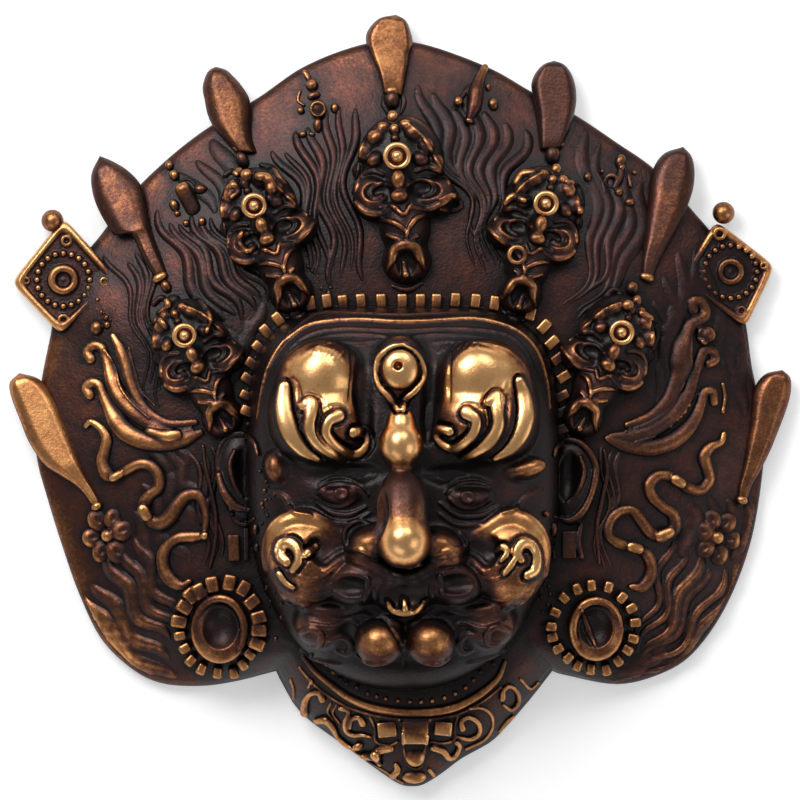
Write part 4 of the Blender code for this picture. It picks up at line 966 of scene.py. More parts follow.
# A skull's forms, across and down from its brow ring
SKULL_FORMS = (
    ("boss", (1.3, 1.3), (14.3, 15.3), 8.2, 0, 2.0), ("boss", (-8.7, 13.3), (6.7, 8.0), 8.6, 0, 2.0),
    ("boss", (11.3, 14.0), (8.0, 6.7), 8.2, 0, 2.0), ("boss", (1.3, 22.7), (8.7, 11.3), 9.2, 0, 2.0),
    ("boss", (1.3, 34.7), (8.3, 8.0), 7.2, 0, 2.0), ("boss", (0.7, 10.0), (4.7, 8.7), 10.6, 0, 2.0),
    # Lumps of the cranium's carved locks
    ("bead", (-6.7, -6.7), (3.2, 2.5), 0.1, 40, 1.1), ("bead", (-10.3, -2.0), (3.2, 2.6), 0.1, 70, 1.1),
    ("bead", (-12.7, 4.0), (3.0, 2.5), 0.1, 80, 1.1), ("bead", (5.7, -7.3), (3.2, 2.5), 0.1, -40, 1.1),
    ("bead", (9.7, -3.0), (3.2, 2.8), 0.1, -60, 1.1), ("bead", (13.0, 2.7), (3.1, 2.6), 0.1, -80, 1.1),
    ("bead", (-7.3, 0.7), (3.0, 2.4), 0.1, 30, 1.1), ("bead", (7.7, 1.3), (3.0, 2.4), 0.1, -30, 1.1),
    ("bead", (-4.0, -10.0), (2.2, 2.0), 0.1, 0, 1.1), ("bead", (3.3, -10.3), (2.2, 2.0), 0.1, 0, 1.1),
    # The thin edge round the cranium
    ("cord", way("-6.7 -10.3, -11.3 -4, -13.3 4.7, -15.3 11.3"), (0.4, 0.7, 0.7, 0.6), 0.1),
    ("cord", way("4 -11, 9.3 -5.3, 13.3 2.7, 16.7 9.3"), (0.4, 0.7, 0.7, 0.6), 0.1),
    # Sockets with curled lids, and the brows over them
    ("pit", (-7.3, 11.0), (5.7, 3.7), 3.2, 0, 0.7), ("pit", (8.7, 11.0), (5.7, 3.7), 3.2, 0, 0.7),
    ("cord", way("-14.3 10.7, -12.3 6.7, -9 4.3, -4.7 5.7"), (0.7, 1.2, 1.1, 0.6), 0.2),
    ("cord", way("6 5.3, 10 4, 13.7 5.7, 16.7 10"), (0.6, 1.1, 1.2, 0.7), 0.2),
    ("cord", way("-2 9.7, -6.3 8.7, -9.3 11, -8.3 13.7, -6 13"), (0.7, 0.9, 0.9, 0.9, 1.0), 0.1),
    ("cord", way("3 9.7, 6.7 8, 11 9.3, 11 12.3, 8 13.7"), (0.7, 0.8, 0.8, 0.8, 0.8), 0.1),
    # Nose, cheekbones and the folds of the upper lip
    ("bead", (0.0, 8.0), (2.4, 3.4), -0.2, 0, 0.8), ("bead", (0.0, 13.3), (3.0, 2.4), 0.3, 0, 0.8),
    ("cord", way("-14.3 14.7, -11.3 17.7, -6.7 18.7, -2 17"), (1.0, 1.4, 1.3, 0.8), 0.1),
    ("cord", way("4 17.3, 9.3 18, 14.7 16, 19.3 13.3"), (0.8, 1.2, 1.2, 0.7), 0.1),
    ("cord", way("-6.3 16.7, -2.7 16.3, 0.7 19.3"), (0.7, 1.0, 0.8), 0.3),
    ("cord", ((3.7, 16.3), (1.7, 19.3)), (0.8, 0.7), 0.3),
    ("cord", way("-6 20.7, -2 22, 1.3 24.7, 1.7 27.3"), (0.8, 1.1, 0.9, 0.6), 0.2),
    ("cord", way("8 20, 4.7 21.3, 2 25.3, 1.7 27.3"), (0.8, 1.1, 0.9, 0.6), 0.2),
    ("cord", way("-4.7 25.7, -1.3 27.3, 2 28, 5.3 26.7"), (0.7, 1.1, 0.9, 0.7), 0.2),
    # Mouth, fangs bared over it and the chin
    ("pit", (1.0, 36.7), (4.7, 6.0), 3.0, 0, 0.6),
    ("cord", way("-5.7 38.3, -3.7 34.7, -2.3 31, 1 29.3, 4.3 30.7, 6 34.7, 7 38"),
     (0.5, 1.2, 1.9, 2.3, 2.0, 1.6, 0.5), 0.4),
    ("cord", ((0.3, 35.3), (0.7, 39.3)), (0.8, 1.4), 0.9),
    ("cord", way("-4 42.7, 1 44.3, 6 42.3"), (0.6, 1.2, 0.6), 0.4),
    # Brow ring with its pearl, and the beads of the topknot
    ("bead", (0.0, 0.0), (4.7, 4.7), 0.9, 0, 0.3, 1.9), ("ring", (0.0, 0.0), 3.8, 1.0, -0.3),
    ("bead", (0.0, 0.0), (2.1, 2.1), 0.1),
    ("bead", (-0.3, -6.0), (1.4, 1.5), 0.4), ("bead", (-0.3, -9.0), (1.8, 2.0), 0.4),
    ("bead", (-0.7, -13.0), (2.0, 2.6), 0.3),
)
# Ornaments that only one of the skulls has
SKULL_EXTRAS = {
    "outer_left": (
        ("bead", (-77.7, 37.7), (1.8, 2.4), 0.6, 25), ("bead", (-75.3, 33.0), (2.6, 2.0), 0.6, 20),
        ("cord", way("-81.7 32, -79 34, -76.7 31.3, -80 28.7"), 1.1, 0.2),
        ("cord", way("-82.7 24, -80 26.7, -77.3 24"), 1.0, 0.2),
        ("cord", way("-68 34, -64.7 31.3, -62.7 26.7, -64 22.7"), 0.9, 0.2),
    ),
    "inner_left": (
        ("bead", (-52.3, 79.7), (2.0, 3.2), 0.9, 20), ("bead", (-50.7, 74.3), (2.2, 2.4), 0.6, 20),
        ("cord", way("-58 74.7, -55.7 76, -54 74.7"), (1.0, 1.2, 0.8), 0.3),
        ("cord", way("-57.3 70, -55 71.3, -53.7 69, -55.7 67.3"), (1.0, 1.2, 1.2, 0.8), 0.3),
        ("cord", way("-46.7 74, -44 73.3, -42.7 70, -43.3 66.7"), (1.6, 2.0, 2.2, 1.2), 0.3),
        ("cord", way("-46 78, -42.7 76.7, -40 73.3, -37.7 72"), (1.0, 1.6, 1.4, 0.8), 0.2),
        ("cord", way("-52 56, -53.3 52.7, -50.7 49.3, -48 50.7"), (0.9, 1.1, 1.1, 0.8), 0.4),
    ),
    "inner_right": (
        ("bead", (50.7, 85.0), (4.0, 1.8), 1.0, 0), ("bead", (50.7, 81.3), (2.6, 3.4), 0.8, 0),
        ("cord", way("38.7 72, 40.7 74.7, 44 75.3"), (1.6, 1.8, 1.2), 0.2),
        ("cord", way("35 65.3, 37.3 67.3, 41.3 66"), (1.2, 1.5, 1.0), 0.2),
        ("cord", way("55.3 72.3, 58.7 70.7, 60 65.3, 58.7 58.7"), (1.0, 1.5, 1.5, 0.8), 0.2),
        ("ring", (38.7, 48.0), 2.6, 0.9, 0.6),
    ),
    "outer_right": (
        ("bead", (77.0, 37.0), (2.4, 2.6), 0.6), ("bead", (75.3, 31.3), (2.2, 2.0), 0.6),
        ("cord", way("68 34, 70.7 36.7, 73.3 35.3"), 1.1, 0.2),
        ("cord", way("80 28.7, 83.3 26.7, 85.3 22, 84 17.3"), 1.2, 0.2),
    ),
    "centre": (
        ("cord", way("13.3 66.3, 17.3 67.7, 20.3 64.7, 17.3 62.7, 13.3 63.3"),
         (0.8, 1.0, 1.1, 1.0, 0.8), 0.2),
        ("cord", way("-5.3 101.3, -5.3 98, -4 95.3"), (0.8, 1.1, 0.8), 0.2),
        ("cord", way("0.7 102, 1.3 98.7, 0.3 95.3"), (0.8, 1.0, 0.6), 0.2),
        ("bead", (-2.7, 99.7), (2.6, 3.4), 0.8),
    ),
}


def make_skull(name):
    """One small skull, its forms turned from its brow ring to its mouth."""
    ring, mouth, size, mirror = SKULLS[name]
    turn = math.degrees(math.atan2(mouth[1] - ring[1], mouth[0] - ring[0])) + 90
    place = local_frame(ring, turn, size, mirror)
    reach = 46 * size
    middle = place((0, 15))
    low = (middle[0] - 0.62 * reach, middle[1] - reach * 0.84)
    high = (middle[0] + 0.62 * reach, middle[1] + reach * 0.84)
    relief = Relief(low, high, front_height, 16.0)
    relief.model(map_forms(SKULL_FORMS, place, turn, size, mirror))
    relief.model(SKULL_EXTRAS[name])
    return relief.piece("skull_" + name)

# Each blade's two edges from its shank to its tip, its thickness and how flat its face is
BLADES = {
    "side_left": (
        way("-102 -35.3, -106.7 -29.3, -112.7 -25.3, -118.3 -21.3, -123.3 -14.3, -126.7 -6, "
            "-129.3 0.7, -130 5.7, -126.7 9"),
        way("-99.3 -34.3, -100.7 -31.3, -104 -25.3, -106.7 -18.7, -109.7 -11.3, -113.3 -2.7, "
            "-116.7 3.3, -120.7 7.3, -126.7 9"),
        2.6, 0.35,
    ),
    "outer_left": (
        way("-81.7 41, -85.7 47.3, -89.3 54.7, -94.7 54.7, -97.3 58, -100.3 63.3, -102.3 69, "
            "-102.7 75.3, -100 81.3"),
        way("-77 42, -79.7 48.7, -82.3 55.3, -83.7 60.7, -85 67.3, -86.7 72.3, -91 76.7, "
            "-96 79.7, -100 81.3"),
        2.8, 0.3,
    ),
    "inner_left": (
        way("-55.3 82.7, -58.3 86.3, -62 90.7, -64 95, -65 99.7, -65.7 104, -64.7 108, "
            "-63.3 110, -61.3 111"),
        way("-47.3 82.3, -49 86.3, -49.7 91.3, -49.7 96.3, -50.3 100.7, -53 105, -55.7 108, "
            "-58 110, -61.3 111"),
        3.0, 0.25,
    ),
    "top": (
        way("-5.7 102, -6.3 104.7, -7.3 108.7, -8.7 112, -10 115.3, -11.3 119.3, -10.7 123, "
            "-7 127, -1.3 128.3"),
        way("1 101.3, 1.7 104.7, 2.3 108, 3 111.3, 3.3 114.7, 4.3 118, 3.7 122, 2 126.3, "
            "-1.3 128.3"),
        2.8, 0.72,
    ),
    "inner_right": (
        way("46.3 83.3, 46 86.7, 45.7 90.7, 45.3 95.7, 44.3 100.7, 43.7 105, 45 108.7, "
            "47.7 111.7, 51.3 113"),
        way("54 84, 55.3 87.3, 56.7 90.7, 58 95.3, 58.7 100, 58.3 104.7, 57 108.7, "
            "54.7 111.7, 51.3 113"),
        2.8, 0.6,
    ),
    "outer_right": (
        way("80 41, 80 46.7, 81 54, 81.7 60, 82.7 66, 83.3 72, 84.7 78, 88.3 82.3, "
            "94.3 84.3"),
        way("84 40.3, 86.7 46.7, 90.7 54, 94 60.7, 96.3 66.3, 97.7 71.3, 98 76.7, 97 81.3, "
            "94.3 84.3"),
        2.8, 0.35,
    ),
    "side_right": (
        way("112 -33.3, 112.3 -28.7, 113.7 -22.7, 115 -14.7, 116.3 -7.7, 117 -0.7, "
            "118.3 4.7, 121.7 8.7, 127.3 10"),
        way("115.7 -32.7, 117.3 -28, 120 -23.3, 123.3 -16.7, 126 -10, 128.3 -4, 130 2, "
            "130 7.3, 127.3 10"),
        2.6, 0.35,
    ),
}
BLADE_STATIONS = 40
BLADE_ACROSS = 20
BLADE_TIP_HEIGHT = 5.2
BLADE_CLEARANCE = 0.9
BLADE_UNDERSIDE = 2.2
# Flat collars that hold the blades: middle, half sizes and turn
COLLARS = (
    ("bead", (-53.3, 83.7), (2.6, 1.8), 1.4, -15), ("bead", (-2.7, 102.7), (2.6, 1.8), 1.6, 0),
    ("bead", (-79.7, 40.7), (2.8, 1.6), 1.2, 30), ("bead", (82.0, 40.7), (2.6, 1.6), 1.2, -20),
    ("bead", (-100.7, -35.3), (2.0, 1.6), 1.0, 30), ("bead", (113.7, -33.3), (2.0, 1.6), 1.0, -20),
)

# The tip's share of a blade is left unsmoothed; a blade this wide has its full thickness
BLADE_TIP_SHARE = 0.93
BLADE_FULL_WIDTH = 9.0
# The rounding of the underside, as a share of the width, and how low the edge line lies
BLADE_UNDER_ROUND = 0.3
BLADE_EDGE_DROP = 0.2


def make_blade(name):
    """A blade from two edge lines: rounded across, or flat with ground bevels."""
    left, right, thickness, flat = BLADES[name]
    thickness *= bpy.context.scene.bhairava_sizes.blade
    left = resample(left, BLADE_STATIONS)
    right = resample(right, BLADE_STATIONS)
    axis = (left + right) / 2
    along = np.linspace(0, 1, BLADE_STATIONS)
    rest = front_height(axis[:, 0], axis[:, 1]) + BLADE_CLEARANCE
    start = rest[0]
    level = np.maximum(start + (BLADE_TIP_HEIGHT - start) * along, rest)
    level = np.where(along > BLADE_TIP_SHARE, level, smooth_line(level, 4))
    across = np.linspace(-1, 1, BLADE_ACROSS + 1)
    bulge = np.clip((1 - np.abs(across)) / (1 - flat), 0, 1)
    top = np.sin(0.5 * math.pi * bulge) ** 0.8
    rounding = np.clip((1 - np.abs(across)) / BLADE_UNDER_ROUND, 0, 1)
    under = -np.sin(0.5 * math.pi * rounding) ** 0.6
    width = np.hypot(*(right - left).T)
    full = np.clip(width / BLADE_FULL_WIDTH, 0, 1) ** 0.7
    places = [np.append(axis[0], level[0])]
    for k in range(BLADE_STATIONS):
        here = (left[k] + right[k])[None, :] / 2 + (right[k] - left[k])[None, :] / 2 * across[:, None]
        edge = level[k] - BLADE_EDGE_DROP * thickness
        upper = np.column_stack([here, edge + thickness * full[k] * top])
        lower = np.column_stack([here, edge + BLADE_UNDERSIDE * full[k] * under])
        places.extend(np.concatenate([upper, lower[-2:0:-1]]))
    count = 2 * BLADE_ACROSS
    faces = []
    for k in range(BLADE_STATIONS - 1):
        base = 1 + k * count
        for i in range(count):
            after = (i + 1) % count
            faces.append((base + i, base + after, base + count + after, base + count + i))
    for i in range(count):
        faces.append((0, 1 + (i + 1) % count, 1 + i))
    return closed_piece("blade_" + name, places, faces)


def closed_piece(name, places, faces):
    """A closed mesh with doubled places joined and its faces turned outward."""
    bm = bmesh.new()
    verts = [bm.verts.new(np.asarray(place) * MM) for place in places]
    for face in faces:
        bm.faces.new([verts[i] for i in face])
    bmesh.ops.remove_doubles(bm, verts=bm.verts, dist=0.00002)
    bmesh.ops.recalc_face_normals(bm, faces=bm.faces)
    return ride_mask(smooth_piece(name, bm))


def resample(points, count):
    """A smooth line through the points in the given number of even steps."""
    fine = smooth_route(points, 16)
    run = np.concatenate([[0], np.cumsum(np.hypot(*np.diff(fine, axis=0).T))])
    along = np.linspace(0, run[-1], count)
    return np.stack([np.interp(along, run, fine[:, k]) for k in range(2)], 1)


def smooth_line(values, reach):
    """Running means of a row of values."""
    padded = np.pad(values, reach, mode="edge")
    return np.convolve(padded, np.ones(2 * reach + 1) / (2 * reach + 1), "valid")


def make_collars():
    """The beads that hold the blades' shanks."""
    relief = Relief((-112, -40), (126, 108), front_height, 8.0, 0.5)
    return relief.model(COLLARS).piece("blade_collars")

# Medallions: their corners, the ring in the middle and their corner rings
MEDALLIONS = {
    "left": (
        way("-112 61, -93.7 40.7, -112.7 21.3, -129.7 39"), (-112.0, 40.0), (5.3, 2.3),
        (((-111.0, 53.0), 2.0), ((-112.0, 26.7), 2.0), ((-98.3, 39.3), 1.7), ((-124.3, 39.7), 1.3)),
    ),
    "right": (
        way("105 60, 125 44.7, 115 23.7, 92.3 39.7"), (110.0, 42.7), (4.7, 2.2),
        (((106.3, 55.3), 2.3), ((99.0, 41.7), 2.0), ((113.7, 29.7), 1.7), ((121.0, 44.7), 1.3)),
    ),
}
MEDALLION_BEADS = 20
MEDALLION_BEAD_CIRCLE = 8.8
MEDALLION_FLOOR = 3.6
MEDALLION_LEAN = 0.45
CORNER_SOFT = 1.3
MEDALLION_KNOBS = {"left": (-115.7, 59.7), "right": (107.7, 62.3)}


def medallion_plane(middle):
    """Level of a medallion's face: it leans some of the way the plate does."""
    step = 4.0
    share = MEDALLION_LEAN / (2 * step)
    x, y = middle
    slope_x = share * float(front_height(x + step, y) - front_height(x - step, y))
    slope_y = share * float(front_height(x, y + step) - front_height(x, y - step))
    level = float(front_height(x, y))

    def plane(places_x, places_y):
        return level + slope_x * (places_x - x) + slope_y * (places_y - y)

    return plane

# Border of a plaque: its height, how far in its crest lies, its half width; the beads' radius
BORDER_HEIGHT = 1.2
BORDER_PLACE = 1.5
BORDER_WIDTH = 1.3
MEDALLION_BEAD = 1.15


def make_medallion(name):
    """A square plaque with a raised border, a ringed boss and beads round it."""
    corners, middle, (outer, hole), corner_rings = MEDALLIONS[name]
    plane = medallion_plane(middle)
    low = np.min(corners, 0) - 2
    high = np.max(corners, 0) + 2
    relief = Relief(low, high, plane, 9.0, 0.34, 2.6)
    clay = relief.clay
    shape = clay.field.shape
    x, y = np.broadcast_arrays(
        clay.low[0] + clay.step * np.arange(shape[0])[:, None],
        clay.low[1] + clay.step * np.arange(shape[1])[None, :],
    )
    # Sides blended by a soft maximum, so that the corners are rounded
    weight = np.zeros(x.shape)
    ring = list(corners)
    for start, end in zip(ring, ring[1:] + ring[:1]):
        side = np.subtract(end, start)
        normal = np.array([-side[1], side[0]]) / math.hypot(*side)
        away = (x - start[0]) * normal[0] + (y - start[1]) * normal[1]
        weight += np.exp(np.clip(away / CORNER_SOFT, -60, 60))
    inside = CORNER_SOFT * np.log(np.maximum(weight, 1e-20))
    z = clay.low[2] + clay.step * np.arange(shape[2])[None, None, :]
    rim = BORDER_HEIGHT * np.clip(1 - np.abs(inside + BORDER_PLACE) / BORDER_WIDTH, 0, 1) ** 0.5
    top = plane(x, y) + MEDALLION_FLOOR - BORDER_HEIGHT + rim
    block = np.maximum(z - top[:, :, None], inside[:, :, None] + 0.15)
    clay.field[:] = np.minimum(clay.field, block).astype(np.float32)
    relief.ring(middle, (outer + hole) / 2, (outer - hole) / 2, 0.4)
    relief.bead(middle, (hole * 0.35, hole * 0.35), -0.5)
    for i in range(MEDALLION_BEADS):
        angle = 2 * math.pi * i / MEDALLION_BEADS
        spot = (
            middle[0] + MEDALLION_BEAD_CIRCLE * math.cos(angle),
            middle[1] + MEDALLION_BEAD_CIRCLE * math.sin(angle),
        )
        relief.bead(spot, (MEDALLION_BEAD, MEDALLION_BEAD), 0.2)
    for place, radius in corner_rings:
        relief.ring(place, radius * 0.72, radius * 0.34, 0.3)
    return relief.piece("medallion_" + name)


def make_knob(name):
    """A round knob that stands out past the plate's edge behind a medallion."""
    place = MEDALLION_KNOBS[name]
    radius = bpy.context.scene.bhairava_sizes.knob / MM
    pick()
    bpy.ops.mesh.primitive_uv_sphere_add(segments=32, ring_count=16, radius=radius * MM)
    knob = bpy.context.object
    knob.name = "knob_" + name
    knob.data.transform(Matrix.Translation(Vector((*place, radius + 1.6)) * MM))
    knob.data.shade_smooth()
    return ride_mask(knob)

SIDES = ("left", "right")
# Carving at each side of the face: locks as flames, a ribbon, a flower, an ear and its disc
FLAME_FORMS = {
    "left": (
        ("cord", way("-102.7 13.7, -103.7 16, -101.7 18, -99 17.3, -97.3 13.3, -95.7 7.3, -93 1.3, "
                     "-88.7 -3.7, -82.7 -8, -76 -10.7"),
         (1.8, 1.8, 1.6, 1.9, 2.8, 3.0, 2.8, 2.6, 2.4, 1.6), 0.6, 0.35, 0.55),
        ("cord", way("-95.3 21.3, -93 17.3, -91 12, -89.3 5.7, -87 0.3, -82.7 -4.7, -76 -8, "
                     "-67.7 -7.3"),
         (1.1, 2.1, 2.3, 2.1, 1.9, 1.8, 1.8, 1.1), 0.5, 0.35, 0.55),
        ("cord", way("-103 1.7, -104 4, -102 5.7, -99.7 4.7, -98 0.7, -95.3 -4.7, -91.7 -9.7, "
                     "-86.3 -13, -80 -14.3, -73.3 -13.7, -66 -10.7"),
         (1.8, 1.9, 1.8, 2.1, 3.3, 3.5, 3.3, 3.1, 2.8, 2.4, 1.2), 0.6, 0.35, 0.55),
        ("cord", way("-83.3 -10.3, -76.7 -12, -69.3 -10"), (1.4, 2.1, 1.2), 0.7, 0.35, 0.55),
        ("cord", way("-98.3 16.7, -94.7 11.3, -93 4.7, -89.3 -0.7, -83.3 -6"), 0.5, 0.1),
        ("cord", way("-90 17.3, -88 10, -86 3.3, -81.3 -2"), 0.5, 0.1),
        ("bead", (-100.7, 24.0), (2.3, 2.6), 0.3, 0.35, 0.55), ("bead", (-97.3, 25.0), (1.4, 1.4), 0.2,
            0.35, 0.55),
    ),
    "right": (
        ("cord", way("97.3 30, 97 32.7, 99.7 32.7, 101.3 29.3, 100 27, 96.7 25, 94.7 20.7, 93 15.3, "
                     "92.7 10, 90.7 4, 87.7 -1.3, 82.7 -5.7, 75.3 -8.3"),
         (1.9, 1.8, 2.1, 2.3, 2.4, 3.9, 4.5, 3.1, 2.4, 2.3, 2.1, 1.8, 1.1), 0.6, 0.35, 0.55),
        ("bead", (102.0, 21.7), (3.0, 3.3), 0.5, 0.35, 0.55), ("cord",
            way("100 24, 99.3 20.7, 101.3 19"), 0.9, 0.5),
        ("cord", way("102.7 12, 104.7 13.3, 103.7 16, 101 16.3, 99.3 12.7, 97 6.7, 95 1.3, 91 -4.3, "
                     "85 -9, 77.3 -12, 70 -12"),
         (1.6, 1.8, 1.8, 1.9, 2.4, 2.8, 2.8, 2.8, 2.8, 2.4, 1.2), 0.6, 0.35, 0.55),
        ("cord", way("104.3 -0.7, 103.7 2.7, 101.3 2.7, 100 -1, 98 -6, 94.3 -10.7, 89 -14.3, "
                     "82.7 -16, 74.7 -15, 68.7 -12.7"),
         (1.6, 1.6, 1.8, 2.3, 2.8, 3.0, 3.0, 2.6, 2.3, 1.2), 0.6, 0.35, 0.55),
        ("cord", way("94.3 5.7, 90 -2, 83.3 -7.3, 75 -10.3"), 0.5, 0.1),
        ("cord", way("98.7 2.3, 94 -4.7, 87.3 -10.7, 78.3 -14"), 0.5, 0.1),
        ("cord", way("107.3 5.3, 108 0.7, 107.3 -4"), 0.7, 0.2),
    ),
}
# Ribbons: routes and the radii along them
RIBBONS = {
    "left": (
        (way("-104.3 -8.7, -102.7 -7.3, -99.3 -9.3, -97.3 -12.7, -98 -16.7, -98.7 -20.7, "
             "-96.7 -25, -94 -25.3"),
         (0.9, 1.3, 1.7, 1.9, 2.0, 2.2, 2.5, 1.3)),
        (way("-95.3 -26, -91.3 -23.7, -86.7 -21.3, -82.7 -21.7, -80 -25, -80 -29, "
             "-82.7 -31.3, -84.7 -34.3, -84.7 -37.3"),
         (1.3, 1.7, 1.9, 2.0, 2.0, 2.0, 2.0, 2.3, 1.9)),
        (way("-85.3 -36.3, -82.7 -39.7, -79.3 -40.7, -76 -38.3, -73.3 -34.3, -70.7 -31.7, "
             "-67.3 -31.3, -65.3 -34, -64.3 -38.7, -64.7 -44"),
         (1.9, 2.3, 2.8, 2.8, 2.6, 2.2, 1.9, 1.6, 1.4, 1.2)),
        (way("-64.7 -45, -68.7 -45.3, -73.3 -45.7, -76.7 -48, -78.7 -52, -78 -56.7, "
             "-75.3 -60.3, -72 -61.7, -70 -60.3"),
         (1.4, 2.0, 2.0, 2.0, 2.2, 2.3, 2.5, 2.0, 1.2)),
    ),
    "right": (
        (way("107.7 -11.3, 106.7 -14, 103 -15.7, 101 -19, 102 -22.7, 102.7 -26.7, 100 -29.7, "
             "96.7 -29.7, 92 -27"),
         (0.9, 1.3, 1.9, 2.2, 1.9, 1.9, 2.0, 2.0, 1.7)),
        (way("93.3 -27.7, 89.3 -25.3, 85.3 -25.3, 82.7 -28.3, 83.7 -32, 87 -35.3, 90.7 -38.3, "
             "91 -42.7, 87.7 -45"),
         (1.7, 1.9, 1.9, 2.0, 2.0, 1.9, 2.0, 2.2, 2.0)),
        (way("89.3 -44, 86 -45.3, 82.7 -43.7, 80 -40, 77 -36.7, 72.7 -37, 69.7 -40, 69 -44.3, "
             "72 -47.3, 78 -49"),
         (1.9, 2.2, 2.0, 1.9, 1.7, 1.7, 1.7, 1.7, 1.9, 1.6)),
        (way("76.7 -48.7, 81 -50.3, 83.3 -54.3, 83 -58.7, 80.3 -62, 76.7 -62"),
         (1.7, 1.9, 2.0, 2.2, 2.0, 1.0)),
    ),
}
# Petals of the flowers: place, half sizes and turn
PETALS = {
    "left": (
        ((-100.3, -40.0), (4.1, 3.4), 124), ((-95.3, -39.3), (3.7, 3.1), 74),
        ((-92.0, -43.3), (4.1, 3.6), 18), ((-94.0, -50.3), (4.4, 3.6), -61),
        ((-99.0, -50.3), (3.9, 3.2), -111), ((-102.0, -45.7), (3.7, 3.4), -172),
    ),
    "right": (
        ((101.0, -43.7), (3.9, 3.4), 155), ((103.7, -39.7), (3.7, 3.1), 106),
        ((108.3, -41.0), (4.0, 3.4), 57), ((109.7, -46.3), (3.7, 3.4), -9),
        ((105.7, -51.0), (4.0, 3.4), -86), ((101.3, -49.3), (3.7, 3.2), -137),
    ),
}
EAR_FORMS = {
    "left": (
        ("boss", (-52.3, -25.3), (8.0, 15.0), 4.6, 4, 1.2), ("pit", (-51.3, -24.0), (5.2, 12.0), 4.4, 4,
            0.8),
        ("cord", way("-47 -18, -48.3 -14, -51.7 -11.3, -56 -11.7, -59.3 -15, -60.3 -20, -59.7 -26, "
                     "-57.7 -31.3, -54.3 -35.3, -50 -36.3"),
         (0.7, 1.0, 1.1, 1.1, 1.1, 1.1, 1.3, 1.7, 1.7, 0.9), 0.9),
        ("cord", way("-54.7 -16.7, -56.3 -21.3, -55 -27.7, -52.3 -32"), (0.6, 0.9, 0.8, 0.5), 0.2),
        ("cord", way("-56 -36, -54.7 -39.7, -51.3 -41.3, -48.3 -39.3"), (0.7, 0.9, 0.9, 0.6), 0.6),
        ("cord", way("-65.3 -15.3, -64.3 -22.7, -62.3 -31, -61 -39.3, -61.3 -47.7, -63 -55.3"),
         (0.6, 0.8, 0.9, 0.9, 0.8, 0.6), 0.5),
        ("slab", (-55.0, -49.0), (2.0, 4.4), 2.8, 2), ("slab", (-51.0, -47.7), (1.0, 5.4), 1.6, 0),
        ("bead", (-47.7, -42.7), (1.1, 2.0), 0.7), ("bead", (-47.3, -48.7), (1.0, 1.6), 0.5),
        ("bead", (-63.7, -34.0), (1.2, 2.0), 0.5),
    ),
    "right": (
        ("boss", (57.3, -26.7), (8.0, 15.0), 4.6, -4, 1.2), ("pit", (55.7, -25.3), (5.4, 12.0), 4.4, -4,
            0.8),
        ("cord", way("51 -18.3, 52 -15.3, 55.3 -13.3, 59.3 -14, 62.7 -17.3, 64.7 -22, 64.3 -27.3, "
                     "62.7 -32.7, 60 -37.3, 56 -39.7, 51.3 -38.7"),
         (0.7, 1.0, 1.1, 1.1, 1.2, 1.4, 1.2, 1.2, 1.4, 0.9, 0.6), 0.9),
        ("cord", way("59.7 -18.7, 61 -24, 58.7 -30.7, 55.3 -34"), (0.6, 0.9, 0.8, 0.5), 0.2),
        ("cord", way("67.7 -16.7, 68.7 -24, 67 -32.7, 65.3 -42.7, 66 -54"), (0.6, 0.9, 0.9, 0.8, 0.6),
         0.5),
        ("cord", way("60 -41.3, 59 -46.7, 60.3 -52"), (0.9, 1.3, 0.9), 0.9),
        ("slab", (56.0, -48.0), (2.4, 4.6), 2.0, 0),
        ("bead", (50.7, -42.7), (1.3, 2.4), 0.7), ("bead", (51.0, -51.3), (0.9, 1.8), 0.5),
        ("bead", (48.3, -37.7), (1.2, 1.2), 0.7),
        ("bead", (45.3, -35.0), (1.0, 1.0), 0.6),
    ),
}
# Ear discs: the middle, the ring's two half sizes and the petals round it
EAR_DISCS = {"left": ((-59.7, -75.7), (8.7, 10.5)), "right": ((65.0, -75.7), (8.2, 9.7))}
DISC_PETALS = {
    "left": way("-56.3 -59.7, -62.3 -60.3, -66.7 -62.7, -69.7 -64.3, -72 -68.3, -74 -73.3, "
                "-73.7 -78.3, -72 -82.7, -70 -87, -66.3 -90, -60.7 -91.3, -55 -91.3, "
                "-51.7 -88.3, -49.3 -84.7, -46.7 -81, -46 -76.3, -46 -71.7, -48.3 -66.3, "
                "-51.3 -61.7"),
    "right": way("58.3 -62, 63.3 -60.7, 69.3 -61.3, 74 -65, 77.3 -68.7, 78.7 -73.7, 78 -79.3, "
                 "76 -83.3, 72.7 -87, 68.7 -90.3, 63.3 -90, 58.7 -88.7, 55.3 -86, 51.7 -82.7, "
                 "49.7 -78.7, 49.3 -75, 50.7 -70, 53.7 -65"),
}
SIDE_BOXES = {"left": ((-107.3, -66.0), (-61.3, 26.7)), "right": ((66.7, -66.0), (112.7, 34.7))}
EAR_BOXES = {"left": ((-68.0, -94.7), (-43.3, -8.7)), "right": ((46.7, -94.0), (70.7, -10.0))}
DISC_BOXES = {"left": ((-78.0, -96.0), (-41.3, -55.3)), "right": ((45.3, -96.0), (82.7, -56.0))}


def ribbon_forms(name):
    """Flattened cords that lie on the plate."""
    return [("cord", route, radii, 0.9, 0.35, 0.6) for route, radii in RIBBONS[name]]


def flower_forms(name):
    """Dished petals round a pearl."""
    forms = []
    for place, half_sizes, turn in PETALS[name]:
        forms += [("bead", place, half_sizes, 0.3, turn, 0.15, 1.5),
                  ("pit", place, (2.4, 1.3), 0.6, turn, 0.3)]
    return (*forms, ("bead", FLOWERS[name], (2.4, 2.4), 1.2))


def make_side(name):
    """The flames, the ribbon and the flower at one side."""
    low, high = SIDE_BOXES[name]
    relief = Relief(low, high, front_height, 7.0)
    relief.model((*FLAME_FORMS[name], *ribbon_forms(name), *flower_forms(name)))
    return relief.piece("side_carving_" + name)


